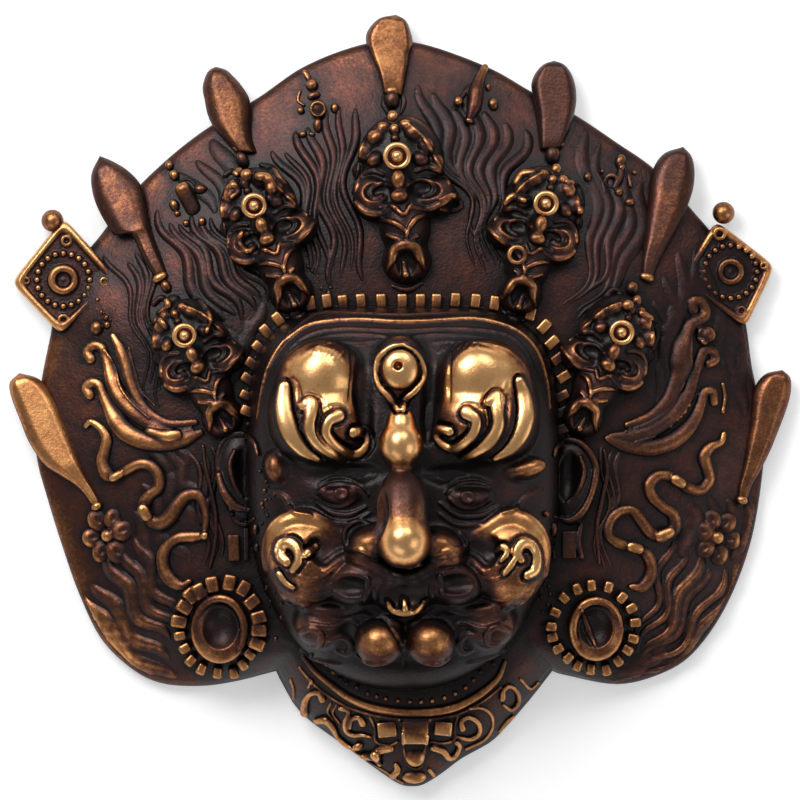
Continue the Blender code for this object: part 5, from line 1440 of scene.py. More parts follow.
def make_ear(name):
    """An ear with the strands and beads beside it."""
    low, high = EAR_BOXES[name]
    return Relief(low, high, front_height, 9.0).model(EAR_FORMS[name]).piece("ear_" + name)

# A disc's dish and ring: heights, how far they reach past the half sizes, the ring's radius
DISC_HEIGHT = 4.2
DISC_DEPTH = 4.0
DISC_REACH = 1.2
DISH_INSET = 0.6
RING_INSET = 0.5
RING_HEIGHT = 2.6
RING_RADIUS = 1.5
# Petals: half sizes at full size, and the size of the full ones and of the others
PETAL_SIZE = (2.4, 1.9)
FULL_PETAL = 1.15
SMALL_PETAL = 0.86


def make_disc(name):
    """The lobe's dished disc, its ring and the petals round it."""
    middle, half_sizes = EAR_DISCS[name]
    low, high = DISC_BOXES[name]
    relief = Relief(low, high, front_height, 9.0)
    wide, tall = half_sizes
    relief.boss(middle, (wide + DISC_REACH, tall + DISC_REACH), DISC_HEIGHT, 0, 0.8)
    relief.pit(middle, (wide - DISH_INSET, tall - DISH_INSET), DISC_DEPTH, 0, 0.5)
    angles = np.linspace(0, 2 * math.pi, 33)
    ring = np.column_stack([
        middle[0] + (wide - RING_INSET) * np.cos(angles),
        middle[1] + (tall - RING_INSET) * np.sin(angles),
    ])
    route = np.column_stack([ring, front_height(*ring.T) + RING_HEIGHT])
    relief.clay.cord(route, RING_RADIUS, 0.3, 0.85)
    if name == "right":
        relief.cord(way("60.3 -69.7, 62.3 -75.7, 64.7 -81.3"), (0.6, 1.3, 0.7), 0.5)
    for petal in DISC_PETALS[name]:
        heading = math.degrees(math.atan2(petal[1] - middle[1], petal[0] - middle[0]))
        full = FULL_PETAL if heading > -30 and name == "left" else SMALL_PETAL
        near = np.array(middle) + (np.array(petal) - middle) * 0.95
        relief.slab(tuple(near), (PETAL_SIZE[0] * full, PETAL_SIZE[1] * full), 3.0 + full, heading,
                    0.25, 1.0)
    return relief.piece("ear_disc_" + name)

BIB_BEADS = way("-29.3 -84.3, -24.3 -87.3, -22 -90, -19.7 -92.3, -17.7 -94, -14.3 -95.3, "
                "-10.7 -97.3, -4.7 -99, -0.7 -99.7, 3.3 -100, 7 -100, 10.7 -99.7, 14.7 -98.7, "
                "18.3 -97.3, 21.7 -95.3, 24.3 -92.7, 26.7 -90, 31 -87.3, -27 -86, -7.7 -98.3")
BIB_FORMS = (
    ("cord", way("-32.3 -84.7, -28.3 -89.7, -23.3 -94, -16.7 -98.7, -9.3 -101.7, 0 -103.3, "
                 "10 -103.3, 17.3 -102, 23.3 -99.3, 28.7 -95.7, 32.7 -91.7, 34.7 -86.7"),
                 (0.8, 1.2, 1.4, 1.6, 1.6, 1.4, 0.8), 0.5),
    ("cord", way("-33.3 -88.7, -27.3 -95.3, -18.3 -101.3, -9.3 -104.3, 0 -105.7, 10 -105.7, "
                 "18.7 -104.3, 26.7 -100.3, 33.3 -95.3"), 0.6, 0.1),
    ("cord", way("-25.7 -99.3, -26.7 -97.3, -29.3 -97.3, -31.3 -100, -31.7 -104"),
     (1.3, 1.0, 1.0, 1.4, 1.6), 0.4),
    ("cord", ((-30.3, -95.3), (-29.3, -93.3)), 0.6, 0.3), ("cord",
                                                           way("-36.3 -93, -35.3 -96, -35.3 -99.3"),
                                                           0.6, 0.3),
    ("cord", way("-27.7 -106.7, -24.7 -106.3, -22.3 -108.7, -20.7 -112, -17.7 -115, -15.7 -116"),
     (1.3, 1.6, 1.3, 1.0, 1.0, 0.7), 0.4),
    ("cord", way("-23 -100.7, -24 -103.3, -22.3 -106"), 0.5, 0.2),
    ("cord", way("-21 -101, -22.3 -104, -20 -107.3"), 0.5, 0.2),
    ("cord", way("-19.7 -102.3, -17 -103.3, -18 -106.7, -17.7 -109.7, -15.7 -111.3, -12.7 -111.3, "
                 "-9.7 -112"),
     (0.9, 0.8, 1.1, 1.2, 0.9, 0.7, 0.4), 0.4),
    ("cord", way("-12.3 -107.3, -13.7 -105.3, -16 -106, -16.7 -108.7"), (1.3, 1.0, 0.9, 0.9), 0.4),
    ("slab", (-4.3, -109.3), (3.1, 2.5), 2.4, 6), ("slab", (5.0, -110.3), (4.4, 3.8), 2.6, 0),
    ("slab", (14.3, -109.0), (2.9, 2.3), 2.4, -6),
    ("cord", way("-10 -105.3, -8.3 -108.7, -8 -113.3, -4 -114.7, -0.7 -113.3"), 0.55, 0.2),
    ("cord", way("19.3 -104.7, 18 -108.7, 18 -112.7, 14 -114, 10 -113.3"), 0.55, 0.2),
    ("cord", way("-0.3 -106, 1 -110.7, 1.3 -115.3, 2.7 -121.3, 6.7 -122, 8.3 -115.3, 9.3 -110.7, "
                 "10 -106"), 0.55, 0.2),
    ("cord", way("20.7 -109, 20.3 -106.7, 23 -105.3, 26 -107.3, 26.3 -110.7, 23.3 -112.7, "
                 "18.7 -111.7"),
     (1.2, 0.8, 0.9, 0.9, 0.9, 0.8, 0.5), 0.4),
    ("cord", way("34 -99, 34.3 -96.3, 36.7 -95, 39 -97.3, 39.3 -100.7, 37 -103, 34.3 -101.3"),
     (1.1, 0.8, 0.8, 0.9, 0.9, 0.8, 0.5), 0.4),
    ("cord", way("23.3 -102.3, 27.3 -102.3, 30.3 -104.7, 30.7 -109, 28 -113, 22 -116"), 0.6, 0.3),
    ("cord", way("33.3 -110, 35.3 -107.3, 37.7 -105.3"), 0.7, 0.3),
    ("cord", way("40 -92.7, 43.3 -96, 46 -94"), 0.6, 0.2),
    ("bead", (-13.7, -115.0), (2.3, 1.4), 0.5, 30),
    ("cord", way("-12.3 -118.3, -8.7 -118.3, -7 -116.3, -3 -115.7"), (1.2, 1.7, 1.6, 1.2), 0.5),
    ("cord", ((-8.3, -118.0), (-6.7, -121.0)), (1.6, 1.0), 0.5),
    ("bead", (5.0, -118.3), (3.2, 3.5), 0.5, 0, 0.25, 1.4),
    ("cord", way("11 -115.3, 14.3 -116.7, 16.3 -119, 18.3 -118.3, 19.7 -115, 18.7 -113.7"),
     (1.3, 1.3, 1.2, 1.0, 1.0, 1.0), 0.4),
    ("cord", way("-1.3 -121.3, -0.7 -123, -2.3 -125"), (0.8, 1.3, 1.2), 0.5),
    ("bead", (4.7, -125.3), (4.0, 2.3), 0.6, 0, 0.25, 1.4), ("cord", ((9.7, -123.0), (11.3, -125.0)),
        0.7, 0.4),
    ("cord", way("-19.3 -113.3, -12.7 -118.7, -5.3 -123.3, 1.3 -127.7"), 0.5, 0.0),
)
# Over this height the hairline runs level, and its beads stand nearly square to it
CROWN_FLAT = 27.0
# Beads of the hairline, from the left temple over the brow to the right one
CROWN_BEADS = way("-50.3 -3.7, -50.7 1.3, -50.3 7, -49 12, -46.7 17.3, -44.3 22.7, -40.3 26.7, "
                  "-35 30, -29.7 32, -24.3 32.7, -19 32.3, -13 32.7, -6.3 32.7, 0.7 32.7, "
                  "6.7 32.7, 12 32.7, 18.3 33, 25 32.7, 31.3 32, 37.3 30.7, 43.3 28.7, 47.7 24.3, "
                  "50.3 19, 52.3 13.7, 54.3 7.7, 53.7 1.3, 53.7 -4, 53.3 -9.7")
ORNAMENT_FORMS = {
    "chain": (((-37.3, 85.3), (-18.0, 112.0)), (
        ("cord", ((-31.7, 109.0), (-30.3, 106.7)), 1.0, 0.5), ("bead", (-29.3, 104.7), (2.1, 2.1), 0.6),
        ("bead", (-28.7, 101.3), (2.3, 1.5), 0.6, 20),
        ("bead", (-27.3, 96.7), (2.8, 3.3), 0.9, 10, 0.25, 2.0), ("ring", (-27.3, 96.7), 2.3, 0.5, 0.0),
        ("bead", (-27.3, 91.3), (1.6, 2.6), 0.7), ("bead", (-33.0, 96.3), (1.3, 1.2), 0.8),
        ("bead", (-32.3, 88.3), (1.4, 1.1), 0.6, 20),
        ("bead", (-21.7, 97.0), (1.5, 1.8), 0.3), ("bead", (-29.3, 88.3), (1.2, 0.9), 0.5),
        ("cord", way("-33.3 102.7, -34 99.7, -32 98"), 0.6, 0.3),
    )),
    "leaf_left": (((-80.7, 56.0), (-61.3, 82.0)), (
        ("bead", (-76.7, 78.0), (1.5, 1.7), 0.5, 30), ("bead", (-75.0, 74.7), (1.7, 2.0), 0.6, 30),
        ("slab", (-70.3, 66.7), (2.8, 6.2), 3.0, 28, 0.5, 2.4), ("bead", (-66.3, 70.0), (2.4, 1.7), 0.6,
            0),
        ("bead", (-75.0, 64.7), (1.7, 2.2), 0.6, 20), ("bead", (-65.7, 59.3), (1.4, 1.6), 0.6),
        ("bead", (-71.0, 58.7), (1.3, 1.2), 0.5),
        ("cord", way("-73.3 72.7, -70 73.3, -68 71.3"), 0.6, 0.3),
        ("bead", (-74.0, 62.0), (1.2, 1.0), 0.5),
    )),
    "leaf_top": (((16.0, 89.3), (34.7, 113.3)), (
        ("cord", way("28.3 110.7, 26.7 107.3, 25.3 102.7, 24.7 98, 23 93"), (1.2, 1.9, 2.7, 2.6, 1.0),
         0.8),
        ("cord", way("23.3 104.7, 21.3 101.7, 19.3 99.3"), (0.7, 0.9, 1.4), 0.5),
        ("bead", (19.3, 99.3), (1.6, 1.6), 0.6),
        ("bead", (31.0, 98.3), (1.7, 2.2), 0.6, 20), ("bead", (29.3, 104.0), (1.0, 1.4), 0.4),
        ("cord", ((22.0, 93.3), (24.7, 92.0)), 0.9, 0.6),
    )),
    "leaf_right": (((59.3, 62.7), (80.7, 83.3)), (
        ("bead", (73.3, 79.3), (1.9, 2.5), 0.7, -15), ("cord", way("73.7 77.3, 73 74, 71.3 70.7"),
                                                       (1.2, 1.5, 1.0), 0.6),
        ("ring", (70.3, 72.7), 2.0, 0.8, 0.5), ("bead", (72.7, 69.0), (1.6, 1.6), 0.5),
        ("bead", (62.3, 74.0), (1.5, 1.8), 0.6),
        ("bead", (67.3, 76.0), (0.8, 0.8), 0.5), ("bead", (78.0, 75.7), (1.0, 0.8), 0.5),
        ("bead", (76.3, 65.7), (1.9, 1.5), 0.5),
        ("cord", way("65.3 75.3, 67.3 72, 68 68.7"), 0.6, 0.3), ("cord", ((76.0, 74.7), (76.7, 71.3)),
            0.8, 0.3),
    )),
}
# Patches of small lumps left by the casting: middle, width and count
LUMPS = (
    ((-27.3, 42.0), (9.0, 8.0), 14), ((-44.0, -34.3), (3.0, 11.0), 20),
    ((-42.7, -66.0), (2.6, 12.0), 14),
    ((49.3, -66.0), (3.0, 12.0), 10), ((-58.3, -10.0), (8.0, 4.0), 10),
    ((46.7, -52.7), (2.0, 14.0), 10),
    ((-96.7, 28.0), (5.0, 6.0), 8),
)


def make_bib():
    """The bib's cords, scrolls and the row of small beads over them."""
    relief = Relief((-38.7, -128.0), (49.3, -81.3), front_height, 6.0, 0.36)
    for place in BIB_BEADS:
        relief.bead(place, (0.85, 0.95), 0.5)
    return relief.model(BIB_FORMS).piece("bib_carving")


def upright_bead():
    """One bead of the hairline: a block with rounded edges and a fuller top."""
    pick()
    bpy.ops.mesh.primitive_cube_add(size=2 * MM, location=(0, 0, 0))
    bead = bpy.context.object
    bpy.ops.object.mode_set(mode="EDIT")
    wide = bpy.context.scene.bhairava_sizes.bead / MM
    bpy.ops.transform.resize(value=(wide, 1.5 * wide, wide))
    bpy.ops.mesh.select_all(action="SELECT")
    bpy.ops.mesh.bevel(offset=0.9 * MM, segments=3, profile=0.6, affect="EDGES", clamp_overlap=True)
    bpy.ops.mesh.normals_make_consistent(inside=False)
    bpy.ops.object.mode_set(mode="OBJECT")
    bead.data.shade_smooth()
    return bead


def make_crown():
    """The row of upright beads along the hairline: one is modelled, the rest are copies."""
    first = upright_bead()
    beads = []
    for place in CROWN_BEADS:
        bead = link_object("bead", first.data.copy())
        heading = math.atan2(place[1] - HUB[1], place[0] - HUB[0]) - math.pi / 2
        turn = 0.35 * heading if place[1] > CROWN_FLAT else heading
        level = float(front_height(*place)) + 0.9
        shift = Matrix.Translation(Vector((*place, level)) * MM)
        bead.data.transform(shift @ Matrix.Rotation(turn, 4, "Z"))
        beads.append(bead)
    bpy.data.objects.remove(first)
    pick(*beads)
    bpy.ops.object.join()
    beads[0].name = "crown_beads"
    return ride_mask(beads[0])


def make_ornament(name):
    """One worn ornament of the crest."""
    (low, high), forms = ORNAMENT_FORMS[name]
    return Relief(low, high, front_height, 7.0, 0.34).model(forms).piece("ornament_" + name)


def make_lumps():
    """Small lumps left in the hollows by the casting."""
    rng = np.random.default_rng(5)
    bm = bmesh.new()
    for middle, width, count in LUMPS:
        for _ in range(count):
            place = rng.normal(middle, np.array(width) * 0.5)
            size = rng.uniform(0.35, 0.95)
            level = float(front_height(*place)) + 0.2 * size
            shape = Matrix.Diagonal((size, size * rng.uniform(0.7, 1.4), size * 0.9, 1))
            spin = Matrix.Rotation(rng.uniform(0, math.pi), 4, "Z")
            shift = Matrix.Translation((*place, level))
            whole = Matrix.Scale(MM, 4) @ shift @ spin @ shape @ Matrix.Scale(1 / MM, 4)
            bmesh.ops.create_icosphere(bm, subdivisions=2, radius=MM, matrix=whole)
    return ride_mask(smooth_piece("casting_lumps", bm))

# Combed hair: the first and the last strand of each lock, how many strands, their height
LOCKS = {
    "hair_left": (
        (way("-81.3 67.3, -78 58, -72 46.7, -65.3 34, -58 24"),
         way("-61.3 63.3, -59.3 53.3, -51.3 45.3, -46 38, -43.3 31.3"), 6, 1.0),
        (way("-76 78, -70 73.3, -64.7 65.7, -62 59"), way("-62 87.3, -59.3 82.3, -57.3 75.7, -58 68.7"),
         3, 0.5),
        (way("-44.7 87.3, -38.7 78, -33.3 67.3, -31.3 54, -32 37.3"),
         way("-12.7 100.7, -16 90.7, -18 77.3, -16 59, -10.7 37.3"), 7, 0.9),
        (way("-98 50.7, -92 38, -86.7 22.7, -82.7 -0.7"),
         way("-83.3 57.3, -82.7 40.7, -81.3 20.7, -76.7 -3.3"), 4, 0.8),
        (way("-57.3 24, -54.7 14, -54.7 0.7"), way("-46 34, -48 24, -52 14"), 3, 0.6),
    ),
    "hair_right": (
        (way("6.7 110.7, 9.3 97.3, 14 80.7, 23.3 63.3, 23.3 36.7"),
         way("40 99.3, 40 84, 33.3 68.7, 31.3 54, 35.3 36.7"), 7, 0.9),
        (way("60.7 90.7, 63.3 74.7, 65.3 58, 62 42, 54.7 30"),
         way("82 75.3, 80 62.7, 76.7 46.7, 66.7 34, 58.7 24"), 5, 0.8),
        (way("84.7 36.7, 88 24, 88 7.3, 82.7 -4"), way("99.3 58, 96.7 44, 92 26.7, 89.3 6"), 4, 0.7),
        (way("101.3 54, 104.7 37.3, 107.3 24, 106 7.3"),
         way("109.3 34, 112.7 24, 114.7 10.7, 113.3 -6"), 3, 0.5),
    ),
    "lobe_left": (
        (way("-108 -59.3, -102.7 -69.3, -92 -82, -74.7 -94"),
         way("-86.7 -44.7, -83.3 -56.7, -78.7 -66, -72.7 -72.7"), 5, 1.5),
        (way("-71.3 -14.7, -67.3 -25.3, -64.7 -39.3, -65.3 -54.7"),
         way("-64 -12.7, -62 -25.3, -60 -42.7, -62 -58"), 3, 0.8),
        (way("-90.7 -32.7, -86.7 -44.3, -81.3 -56, -73.3 -64.7"),
         way("-74.7 -17.7, -71.3 -24.3, -68 -30, -65.3 -32.7"), 4, 0.6),
        (way("-82.7 -12.7, -80 -20, -77.3 -26"), way("-73.3 -14.7, -72 -18.7, -71.3 -22.7"), 3, 0.5),
    ),
    "lobe_right": (
        (way("114 -54.7, 107.3 -67.3, 96.7 -82, 80 -93.3"),
         way("90.7 -43.3, 88 -54.7, 85.3 -66, 78 -81.3"), 6, 1.4),
        (way("66 -14.7, 68.7 -26, 66.7 -42.7, 65.3 -56"), way("74 -14.7, 72 -28, 68.7 -42.7, 68 -56.7"),
         3, 0.8),
        (way("117.3 -29.3, 115.3 -42.7, 112.7 -54.7"), way("96.7 -32.7, 96.7 -42.7, 94.7 -52.7"), 4,
         0.7),
        (way("57.3 -91.3, 66.7 -94, 80 -93.3"), way("80 -88.7, 83.3 -86, 89.3 -79.3"), 3, 0.5),
    ),
}
HAIR_STEP = 0.45
HAIR_SINK = 0.5
# Left bare along the edge, depth under the plate, triangles kept for each square of the grid
HAIR_MARGIN = 1.2
HAIR_DEPTH = 1.2
HAIR_SHARE = 2.4
STRAND_FILL = 0.6
STRAND_WAVE = 1.7
WAVE_LENGTH = 25.0


def comb(first, last, count, height, rng):
    """Strands fanned evenly from a lock's first one to its last, all with one rippling wave."""
    first, last = resample(first, 60), resample(last, 60)
    gap = np.hypot(*(last - first).T) / (count - 1)
    along = np.linspace(0, 1, 60)
    length = np.hypot(*np.diff(first, axis=0).T).sum()
    shift = rng.uniform(0, 2 * math.pi)
    strands = []
    for i in range(count):
        start, end = rng.uniform(0, 0.16), rng.uniform(0.86, 1.0)
        place = (i + rng.uniform(-0.15, 0.15)) / (count - 1)
        route = first + (last - first) * place
        heading = np.gradient(route, axis=0)
        side = np.stack([-heading[:, 1], heading[:, 0]], 1) / np.hypot(*heading.T)[:, None]
        turns = length / WAVE_LENGTH * rng.uniform(0.92, 1.08)
        wave = STRAND_WAVE * np.sin(2 * math.pi * turns * along + shift + 0.25 * i)
        span = np.clip((along - start) / (end - start), 0, 1)
        taper = np.sin(math.pi * span) ** 0.35
        width = np.clip(gap, 1.4, 6.0) * STRAND_FILL * rng.uniform(0.8, 1.2) * (0.15 + 0.85 * taper)
        lift = bpy.context.scene.bhairava_sizes.strand / MM * height * rng.uniform(0.75,
            1.2) * (taper + 0.01)
        strands.append((route + side * wave[:, None], width, lift))
    return strands


def comb_relief(strands, low, high):
    """Heights of the strands over the plate, on an even grid; off them it sinks."""
    x = np.arange(low[0], high[0], HAIR_STEP)
    y = np.arange(low[1], high[1], HAIR_STEP)
    relief = np.full((len(x), len(y)), -HAIR_SINK)
    for route, widths, lifts in strands:
        for start, end, width, lift in zip(route, route[1:], widths, lifts):
            reach = width + 2 * HAIR_STEP
            left, right = sorted((start[0], end[0]))
            bottom, top = sorted((start[1], end[1]))
            i = slice(*np.searchsorted(x, (left - reach, right + reach)))
            j = slice(*np.searchsorted(y, (bottom - reach, top + reach)))
            if i.start == i.stop or j.start == j.stop:
                continue
            away_x = x[i][:, None] - start[0]
            away_y = y[j][None, :] - start[1]
            span = end - start
            t = np.clip((away_x * span[0] + away_y * span[1]) / max(span @ span, 1e-9), 0, 1)
            share = np.hypot(away_x - t * span[0], away_y - t * span[1]) / width
            rise = (lift + HAIR_SINK) * np.maximum(0, 1 - share ** 2) - HAIR_SINK
            relief[i, j] = np.maximum(relief[i, j], rise)
    return x, y, relief


def make_hair(name):
    """The locks of one region, combed into the plate's surface."""
    rng = np.random.default_rng(sum(map(ord, name)))
    strands = []
    for first, last, count, height in LOCKS[name]:
        strands += comb(first, last, count, height, rng)
    covered = np.concatenate([route for route, _, _ in strands])
    x, y, relief = comb_relief(strands, covered.min(0) - 2, covered.max(0) + 2)
    grid_x, grid_y = np.meshgrid(x, y, indexing="ij")
    reach, angle = polar(grid_x, grid_y)
    inner = outline_radius(angle) - reach
    relief = np.where(inner < HAIR_MARGIN, -HAIR_SINK, relief)
    kept = relief > -HAIR_SINK + 0.01
    kept = kept[:-1, :-1] | kept[1:, :-1] | kept[:-1, 1:] | kept[1:, 1:]
    plain = front_height(grid_x, grid_y)
    index = np.arange(grid_x.size).reshape(grid_x.shape)
    top = np.column_stack([grid_x.ravel(), grid_y.ravel(), (plain + relief).ravel()])
    low = np.column_stack([grid_x.ravel(), grid_y.ravel(), (plain - HAIR_DEPTH).ravel()])
    a, b, c, d = index[:-1, :-1][kept], index[1:, :-1][kept], index[1:, 1:][kept], index[:-1, 1:][kept]
    upper = np.stack([a, b, c, d], 1)
    lower = upper[:, ::-1] + grid_x.size
    edges = np.concatenate([upper[:, [0, 1]], upper[:, [1, 2]], upper[:, [2, 3]], upper[:, [3, 0]]])
    keys = np.sort(edges, 1) @ np.array([grid_x.size, 1])
    _, first_seen, counts = np.unique(keys, return_index=True, return_counts=True)
    rim = edges[first_seen[counts == 1]]
    walls = np.stack([rim[:, 1], rim[:, 0], rim[:, 0] + grid_x.size, rim[:, 1] + grid_x.size], 1)
    faces = np.concatenate([upper, lower, walls])
    used, faces = np.unique(faces, return_inverse=True)
    places = np.concatenate([top, low])[used]
    piece = new_piece(name, places, faces.reshape(-1, 4))
    hidden = used >= grid_x.size
    thin_hidden(piece, hidden, int(HAIR_SHARE * len(upper)))
    return ride_mask(piece)

# Where hands and polish have rubbed the patina off: middle, half sizes and amount
RUBBED = (
    ((-26.7, 7.3), (10.0, 11.0), 0.42), ((27.3, 7.3), (11.0, 11.0), 0.42),
    ((0.0, 10.7), (6.2, 6.6), 0.5),
    ((0.3, -12.7), (6.4, 9.5), 0.5), ((1.3, -47.7), (8.0, 8.0), 0.42),
    ((-11.3, -46.3), (3.2, 4.0), 0.1), ((15.7, -47.0), (3.8, 3.2), 0.1),
    ((-7.7, -78.7), (5.0, 5.4), 0.08),
    ((10.7, -78.7), (5.0, 5.4), 0.08), ((1.7, -68.7), (6.0, 2.6), 0.3),
    ((43.3, -22.3), (4.5, 3.0), 0.14),
    ((-18.3, 1.3), (6.0, 5.0), 0.3), ((18.3, 1.3), (6.0, 5.0), 0.3), ((-34.0, -41.0), (9.0, 4.0), 0.2),
    ((-40.7, -46.7), (3.0, 8.0), 0.2), ((37.3, -41.0), (10.0, 4.0), 0.18),
    ((45.7, -48.7), (3.0, 8.0), 0.2),
    ((-26.0, -43.3), (7.0, 3.0), 0.1), ((29.3, -43.3), (7.0, 3.0), 0.12),
    ((37.3, -63.3), (7.0, 2.0), 0.16),
    ((-96.7, -79.3), (12.0, 10.0), 0.1), ((-110.0, -52.7), (7.0, 20.0), 0.06),
    ((-115.0, 9.0), (5.0, 12.0), 0.06),
    ((-98.3, 0.7), (9.0, 14.0), 0.12), ((-83.3, -12.7), (14.0, 4.0), 0.12),
    ((-20.0, 113.3), (20.0, 3.0), 0.06),
    ((4.7, -112.7), (30.0, 14.0), 0.08),
)
# Painted shade: places made darker where shade falls under the brows, in the eyes, the mouth and the
# beard and under the chin, over the dark patina these hollows keep, and a darker patch on the nose
# bridge
PAINTED_SHADE = (
    ((0.0, -22.0), (34.0, 4.5), 0.2), ((1.3, -62.7), (26.0, 7.5), 0.34),
    ((0.7, -31.0), (6.0, 7.5), 0.12), ((-19.3, -31.7), (12.0, 8.0), 0.14),
    ((22.0, -32.3), (12.0, 8.0), 0.14), ((1.3, -91.3), (30.0, 8.0), 0.12),
    ((-26.7, -82.7), (12.0, 7.0), 0.16),
    ((30.0, -82.7), (12.0, 7.0), 0.16), ((-20.0, -72.0), (14.0, 4.0), 0.14),
    ((22.0, -72.0), (14.0, 4.0), 0.14),
)
# How worn each kind of piece is before the relief is counted, and how strongly the relief pulls
PIECE_WEAR = {
    "plate": (0.09, 0.7), "face": (0.14, 0.74), "skull": (0.19, 0.92), "blade_top": (0.49, 0.15),
    "blade_inner_left": (0.42, 0.15), "blade_side_left": (0.62, 0.15), "blade_side_right": (0.44, 0.2),
    "blade_inner_right": (0.34, 0.1), "blade_outer_left": (0.4, 0.1), "blade_outer_right": (0.34, 0.2),
    "blade_collars": (0.44, 0.6), "medallion_left": (0.42, 1.0), "medallion_right": (0.29, 1.0),
    "knob": (0.42, 0.4), "side_carving": (0.2, 0.9), "ear_disc": (0.26, 0.9), "ear": (0.14, 0.8),
    "bib_carving": (0.26, 1.0), "crown_beads": (0.46, 0.7), "ornament": (0.2, 0.9),
    "casting_lumps": (0.24, 0.8), "hair": (0.11, 0.6), "lobe": (0.17, 0.8),
}
# Pull of the relief on wear: places over their surroundings come out lighter and places under them
# darker, real patina left in the hollows together with painted shade in creases, at the feet of raised
# parts and under overhangs; scale of the surroundings in millimetres, gain to a millimetre, most
RELIEF_PULLS = ((0.8, 0.4, 0.25), (2.2, 0.13, 0.2), (8.0, 0.02, 0.12))
SIDE_POLISH = {"left": 0.22, "right": 0.15}
FLOWERS = {"left": (-97.0, -45.0), "right": (105.3, -45.7)}
# Faces turned up more than the level hold less patina; hidden ones have the hidden wear
UPWARD_PULL = 0.2
UPWARD_LEVEL = 0.8
HIDDEN_BELOW = -0.3
HIDDEN_WEAR = 0.3
# The left edge is handled most: its wear, where it starts and the width it takes
EDGE_WEAR = 0.14
EDGE_START = 60.0
EDGE_FADE = 30.0
EDGE_WIDTH = 5.0
MAP_STEP = 0.4
MAP_REACH = 140.0


def mesh_places(piece):
    """Places of a piece's vertices, in millimetres."""
    places = np.empty(3 * len(piece.data.vertices), np.float32)
    piece.data.vertices.foreach_get("co", places)
    return places.reshape(-1, 3) / MM


def height_map(pieces):
    """Height of everything that shows from the front, on an even grid."""
    count = int(2 * MAP_REACH / MAP_STEP) + 1
    line = np.linspace(-MAP_REACH, MAP_REACH, count)
    x, y = np.meshgrid(line, line, indexing="ij")
    reach, angle = polar(x, y)
    heights = np.where(reach < outline_radius(angle), front_height(x, y) - 1.0, 0.0)
    for piece in pieces:
        places = mesh_places(piece)
        i = np.clip(np.round((places[:, 0] + MAP_REACH) / MAP_STEP).astype(int), 0, count - 1)
        j = np.clip(np.round((places[:, 1] + MAP_REACH) / MAP_STEP).astype(int), 0, count - 1)
        np.maximum.at(heights, (i, j), places[:, 2])
    return heights


def blurred(heights, scale):
    """Gaussian mean of the map over a scale in millimetres."""
    reach = int(3 * scale / MAP_STEP)
    kernel = np.exp(-0.5 * (np.arange(-reach, reach + 1) * MAP_STEP / scale) ** 2)
    kernel /= kernel.sum()
    padded = np.pad(heights, reach, mode="edge")
    size = padded.shape[0]
    wave = np.fft.rfft(np.pad(kernel, (0, size - len(kernel))))
    rows = np.fft.irfft(np.fft.rfft(padded, axis=0) * wave[:, None], size, axis=0)
    both = np.fft.irfft(np.fft.rfft(rows, axis=1) * wave[None, :], size, axis=1)
    return both[2 * reach:, 2 * reach:]


def read_map(heights, x, y):
    """The map's height at any places, read between its four nearest points."""
    i = np.clip((x + MAP_REACH) / MAP_STEP, 0, heights.shape[0] - 1.001)
    j = np.clip((y + MAP_REACH) / MAP_STEP, 0, heights.shape[1] - 1.001)
    a, b = i.astype(int), j.astype(int)
    u, v = i - a, j - b
    return (
        heights[a, b] * (1 - u) * (1 - v) + heights[a + 1, b] * u * (1 - v)
        + heights[a, b + 1] * (1 - u) * v + heights[a + 1, b + 1] * u * v
    )


def patches(spots, x, y):
    """Sum of soft oval patches over places."""
    total = np.zeros(len(x))
    for middle, half_sizes, amount in spots:
        away = ((x - middle[0]) / half_sizes[0]) ** 2 + ((y - middle[1]) / half_sizes[1]) ** 2
        total += amount * np.clip(1.6 - away, 0, 1)
    return total


def piece_wear(name):
    """Wear of the kind of piece whose name fits best."""
    kinds = [kind for kind in PIECE_WEAR if name.startswith(kind)]
    return PIECE_WEAR[max(kinds, key=len)]


def stroke(route, radii, x, y):
    """Share of a polished line over places: 1 within its width, fading out past it."""
    line = even_route(route, 0.7)
    thick = spread(radii, len(line))
    share = np.zeros(len(x))
    low, high = line.min(0) - 4, line.max(0) + 4
    near = np.flatnonzero((x > low[0]) & (x < high[0]) & (y > low[1]) & (y < high[1]))
    if len(near):
        away = np.hypot(x[near, None] - line[None, :, 0], y[near, None] - line[None, :, 1]) - thick
        share[near] = np.clip(0.6 - away.min(1) / 0.7, 0, 1)
    return share


def face_strokes(x, y):
    """The face's scrolls rubbed bright, and its grooves left dark."""
    bright, dark = np.zeros(len(x)), np.zeros(len(x))
    for route, radii, _ in FACE_TONGUES:
        line = np.atleast_1d(radii)
        bright = np.maximum(bright, stroke(route, 0.75 * line, x, y))
        dark = np.maximum(dark, stroke(route, line + 0.8, x, y))
    thin = stroke(FACE_RIDGES[0][0], 0.5, x, y)
    dark = np.maximum(dark, *[stroke(route, radius, x, y) for route, radius in FACE_GROOVES[:2]])
    return 0.44 * bright + 0.26 * thin - 0.42 * dark * (1 - bright)


def side_strokes(name, x, y):
    """Flames, ribbons and flowers catch hands, more on the left side than on the right."""
    share = np.zeros(len(x))
    for kind, route, *values in (*FLAME_FORMS[name], *ribbon_forms(name)):
        if kind == "cord":
            share = np.maximum(share, stroke(route, 0.5 * np.atleast_1d(values[0]), x, y))
    flower = FLOWERS[name]
    petals = np.clip(1.8 - np.hypot(x - flower[0], y - flower[1]) / 5.0, 0, 1)
    return SIDE_POLISH[name] * share + 0.2 * petals


def ring_strokes(name, x, y):
    """The ring and the pearl on a skull's brow, and the edge of its fangs."""
    place, mouth, size, _ = SKULLS[name]
    rings = np.clip((4.9 * size - np.hypot(x - place[0], y - place[1])) / 0.7, 0, 1)
    fangs = np.clip(1.5 - np.hypot(x - mouth[0], y - mouth[1]) / 5.0, 0, 1)
    return 0.4 * rings + 0.1 * fangs


